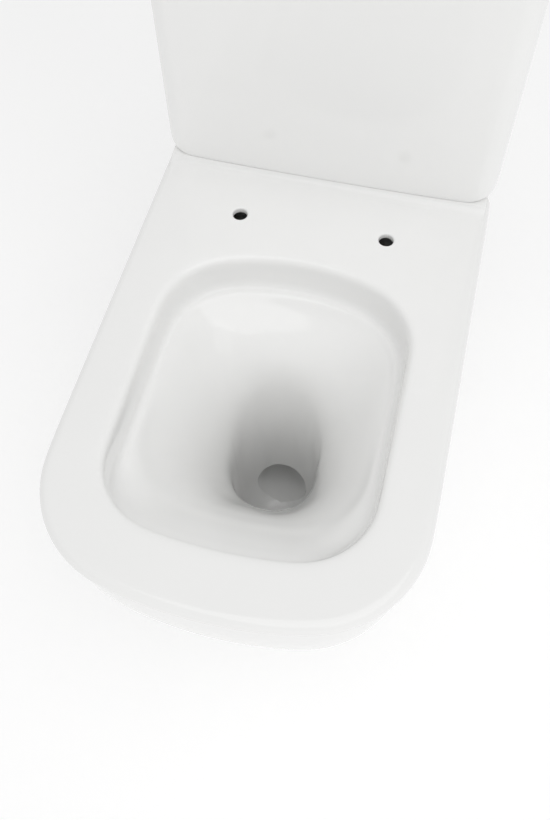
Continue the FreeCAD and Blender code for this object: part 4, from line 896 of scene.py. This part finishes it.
def spring(bm, x):
    """A coil of round wire about the push rod, from the spring plate to the button's boss."""
    radius, wire, turns, steps, sides = 3.9, 0.45, 5, 24, 10
    rings = []
    for k in range(turns * steps + 1):
        a = math.tau * k / steps
        z = SPRING_LOW + wire + (SPRING_LENGTH - 2 * wire) * k / (turns * steps)
        ring = []
        for j in range(sides):
            b = math.tau * j / sides
            out = radius + wire * math.cos(b)
            ring.append((x + out * math.cos(a), PRESS_Y + out * math.sin(a),
                         z + wire * math.sin(b)))
        rings.append(ring)
    skin(bm, rings)


# ================================================================ stage, metres
def ground(name, half, place, material):
    """A square of the stage's floor."""
    bm = bmesh.new()
    bmesh.ops.create_grid(bm, x_segments=1, y_segments=1, size=half,
                          matrix=Matrix.Translation(place))
    obj = new_object(name, bm)
    obj.data.materials.clear()
    obj.data.materials.append(material)


def studio_floor(glow):
    """Matt white floor, lifted a little towards pure white."""
    material, tree, shader, place = surface("white_studio_floor")
    tree.links.new(tint(tree, noise(tree, place, 700.0), "F6F6F6", "FAFAFA"),
                   shader.inputs["Base Color"])
    shader.inputs["Roughness"].default_value = 0.9
    shader.inputs["Specular IOR Level"].default_value = 0.1
    shader.inputs["Emission Color"].default_value = (1, 1, 1, 1)
    shader.inputs["Emission Strength"].default_value = glow
    ground("studio_floor", 12.0, (0, 0, -0.5 * MM), material)


def foot_shade():
    """Painted shade: a dark sheet of floor inside the foot, so that the glow doesn't light the casting's
    hollow.
    """
    material, tree, shader, place = surface("painted_shade_floor")
    # near black: painted shade standing in for the dark inside of the hollow casting
    shader.inputs["Base Color"].default_value = linear("101010")
    shader.inputs["Roughness"].default_value = 0.9
    ground("painted_shade_in_foot", 0.08, (0, -0.02, -0.3 * MM), material)


def surround(scene, strength):
    """An even white surround."""
    world = bpy.data.worlds.new("studio")
    scene.world = world
    world.use_nodes = True
    background = world.node_tree.nodes["Background"]
    background.inputs["Color"].default_value = (1, 1, 1, 1)
    background.inputs["Strength"].default_value = strength


def soft_light(name, place, aim, size, power):
    """A square softbox that points at aim."""
    lamp = bpy.data.lights.new(name, "AREA")
    lamp.shape = "SQUARE"
    lamp.size = size
    lamp.energy = power
    obj = bpy.data.objects.new(name, lamp)
    bpy.context.scene.collection.objects.link(obj)
    obj.location = place
    way = Vector(aim) - Vector(place)
    obj.rotation_euler = way.to_track_quat("-Z", "Y").to_euler()


def camera(scene, settings):
    """The camera, turned by azimuth, elevation and roll."""
    azimuth, elevation, roll = settings.azimuth, settings.elevation, settings.roll
    view = Vector((-math.sin(azimuth) * math.cos(elevation),
                   math.cos(azimuth) * math.cos(elevation), -math.sin(elevation)))
    right = view.cross(Vector((0, 0, 1))).normalized()
    up = right.cross(view)
    x_axis = math.cos(roll) * right + math.sin(roll) * up
    y_axis = math.cos(roll) * up - math.sin(roll) * right
    turn = Matrix((x_axis, y_axis, -view)).transposed().to_4x4()
    data = bpy.data.cameras.new("camera")
    data.sensor_fit = "AUTO"
    data.sensor_width = 36.0
    data.lens = settings.lens
    obj = bpy.data.objects.new("camera", data)
    scene.collection.objects.link(obj)
    obj.matrix_world = Matrix.Translation(CAMERA_PLACE) @ turn
    scene.camera = obj


# ================================================================ operators
class TOILET_OT_finishes(bpy.types.Operator):
    """Gives every carried over CAD piece its finish"""

    bl_idname = "toilet.finishes"
    bl_label = "Finishes"

    def execute(self, context):
        for row in frame["record"]["subparts"]:
            obj = frame["nodes"][row["node"]]
            obj.data.materials.clear()
            obj.data.materials.append(finish(row["material_slot"]))
        return {"FINISHED"}


class TOILET_OT_pan(bpy.types.Operator):
    """Builds the pan: hollow china casting with its bowl, trap and deck"""

    bl_idname = "toilet.pan"
    bl_label = "Pan"

    def execute(self, context):
        obj = shape("pan_china", pan_shell)
        subdivide(obj)
        combine(obj, pan_additions(), "UNION")
        combine(obj, pan_cuts(), "DIFFERENCE")
        finish_shading(obj)
        deliver(obj, "toilet", ["pan"])
        return {"FINISHED"}


class TOILET_OT_cistern(bpy.types.Operator):
    """Builds the cistern's body"""

    bl_idname = "toilet.cistern"
    bl_label = "Cistern"

    def execute(self, context):
        obj = shape("cistern_china", tank_shell)
        subdivide(obj)
        combine(obj, tank_cuts(), "DIFFERENCE")
        finish_shading(obj)
        deliver(obj, "toilet", ["cistern_body"])
        return {"FINISHED"}


class TOILET_OT_lid(bpy.types.Operator):
    """Builds the cistern's lid"""

    bl_idname = "toilet.lid"
    bl_label = "Lid"

    def execute(self, context):
        obj = shape("lid_china", lid_shell)
        subdivide(obj)
        finish_shading(obj)
        deliver(obj, "lid", ["cistern_lid"])
        return {"FINISHED"}


class TOILET_OT_buttons(bpy.types.Operator):
    """Builds the push button's bezel, its two halves and their springs"""

    bl_idname = "toilet.buttons"
    bl_label = "Push buttons"

    def execute(self, context):
        bm = bmesh.new()
        bezel(bm)
        deliver(new_object("bezel_chrome", bm, "chrome_button", 30), "lid", ["button_bezel"])
        for side, name in ((-1, "full"), (1, "half")):
            bm = bmesh.new()
            button(bm, side)
            obj = new_object(name + "_button_chrome", bm, "chrome_button", 30)
            finish_shading(obj, 30)
            deliver(obj, name + "_button", [name + "_flush_button"])

            bm = bmesh.new()
            spring(bm, side * BUTTON_X)
            coil = new_object(name + "_spring_coil", bm, "steel")
            deliver(coil, "lid", [name + "_button_spring"])
            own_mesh(coil)
        return {"FINISHED"}


class TOILET_OT_stage(bpy.types.Operator):
    """Floor, soft light and camera"""

    bl_idname = "toilet.stage"
    bl_label = "Stage"

    def execute(self, context):
        settings = context.scene.toilet_stage
        studio_floor(settings.floor_glow)
        foot_shade()
        surround(context.scene, settings.world_strength)
        soft_light("overhead", (0.6, -0.9, 2.9), (0, 0, 0.4), 2.6, settings.key_power)
        soft_light("front", (1.6, -2.0, 2.0), (0, 0, 0.5), 1.6, settings.fill_power)
        camera(context.scene, settings)
        context.scene.view_settings.view_transform = "Standard"
        context.scene.view_settings.look = "None"
        return {"FINISHED"}


class TOILET_PG_stage(bpy.types.PropertyGroup):
    azimuth: FloatProperty(name="Azimuth", description="Camera's turn to the right",
                           default=0.268745, subtype="ANGLE")
    elevation: FloatProperty(name="Elevation", description="Camera's height over the floor",
                             default=1.0513957, subtype="ANGLE")
    roll: FloatProperty(name="Roll", description="Camera's tilt about its view",
                        default=-0.029518, subtype="ANGLE")
    lens: FloatProperty(name="Lens", description="Focal length in mm", default=38.634)
    world_strength: FloatProperty(name="Surround", description="Brightness of the white surround",
                                  default=0.66)
    key_power: FloatProperty(name="Overhead", description="Power of the overhead light",
                             default=21.0, unit="POWER")
    fill_power: FloatProperty(name="Front", description="Power of the front light",
                              default=4.0, unit="POWER")
    floor_glow: FloatProperty(name="Floor glow", description="Lift of the floor towards white",
                              default=0.17)


class TOILET_PT_panel(bpy.types.Panel):
    """Lists the operators that build the toilet"""

    bl_label = "Toilet"
    bl_idname = "TOILET_PT_panel"
    bl_space_type = "VIEW_3D"
    bl_region_type = "UI"
    bl_category = "Toilet"

    def draw(self, context):
        for operator in OPERATORS:
            self.layout.operator(operator.bl_idname)
        for name in TOILET_PG_stage.__annotations__:
            self.layout.prop(context.scene.toilet_stage, name)


OPERATORS = (
    TOILET_OT_finishes,
    TOILET_OT_pan,
    TOILET_OT_cistern,
    TOILET_OT_lid,
    TOILET_OT_buttons,
    TOILET_OT_stage,
)
CLASSES = OPERATORS + (TOILET_PG_stage, TOILET_PT_panel)


def register():
    for cls in CLASSES:
        bpy.utils.register_class(cls)
    bpy.types.Scene.toilet_stage = PointerProperty(type=TOILET_PG_stage)


def unregister():
    del bpy.types.Scene.toilet_stage
    for cls in reversed(CLASSES):
        bpy.utils.unregister_class(cls)


def main():
    register()
    bpy.ops.toilet.finishes()
    bpy.ops.toilet.pan()
    bpy.ops.toilet.cistern()
    bpy.ops.toilet.lid()
    bpy.ops.toilet.buttons()
    bpy.ops.toilet.stage()


if __name__ == "__main__":
    main()
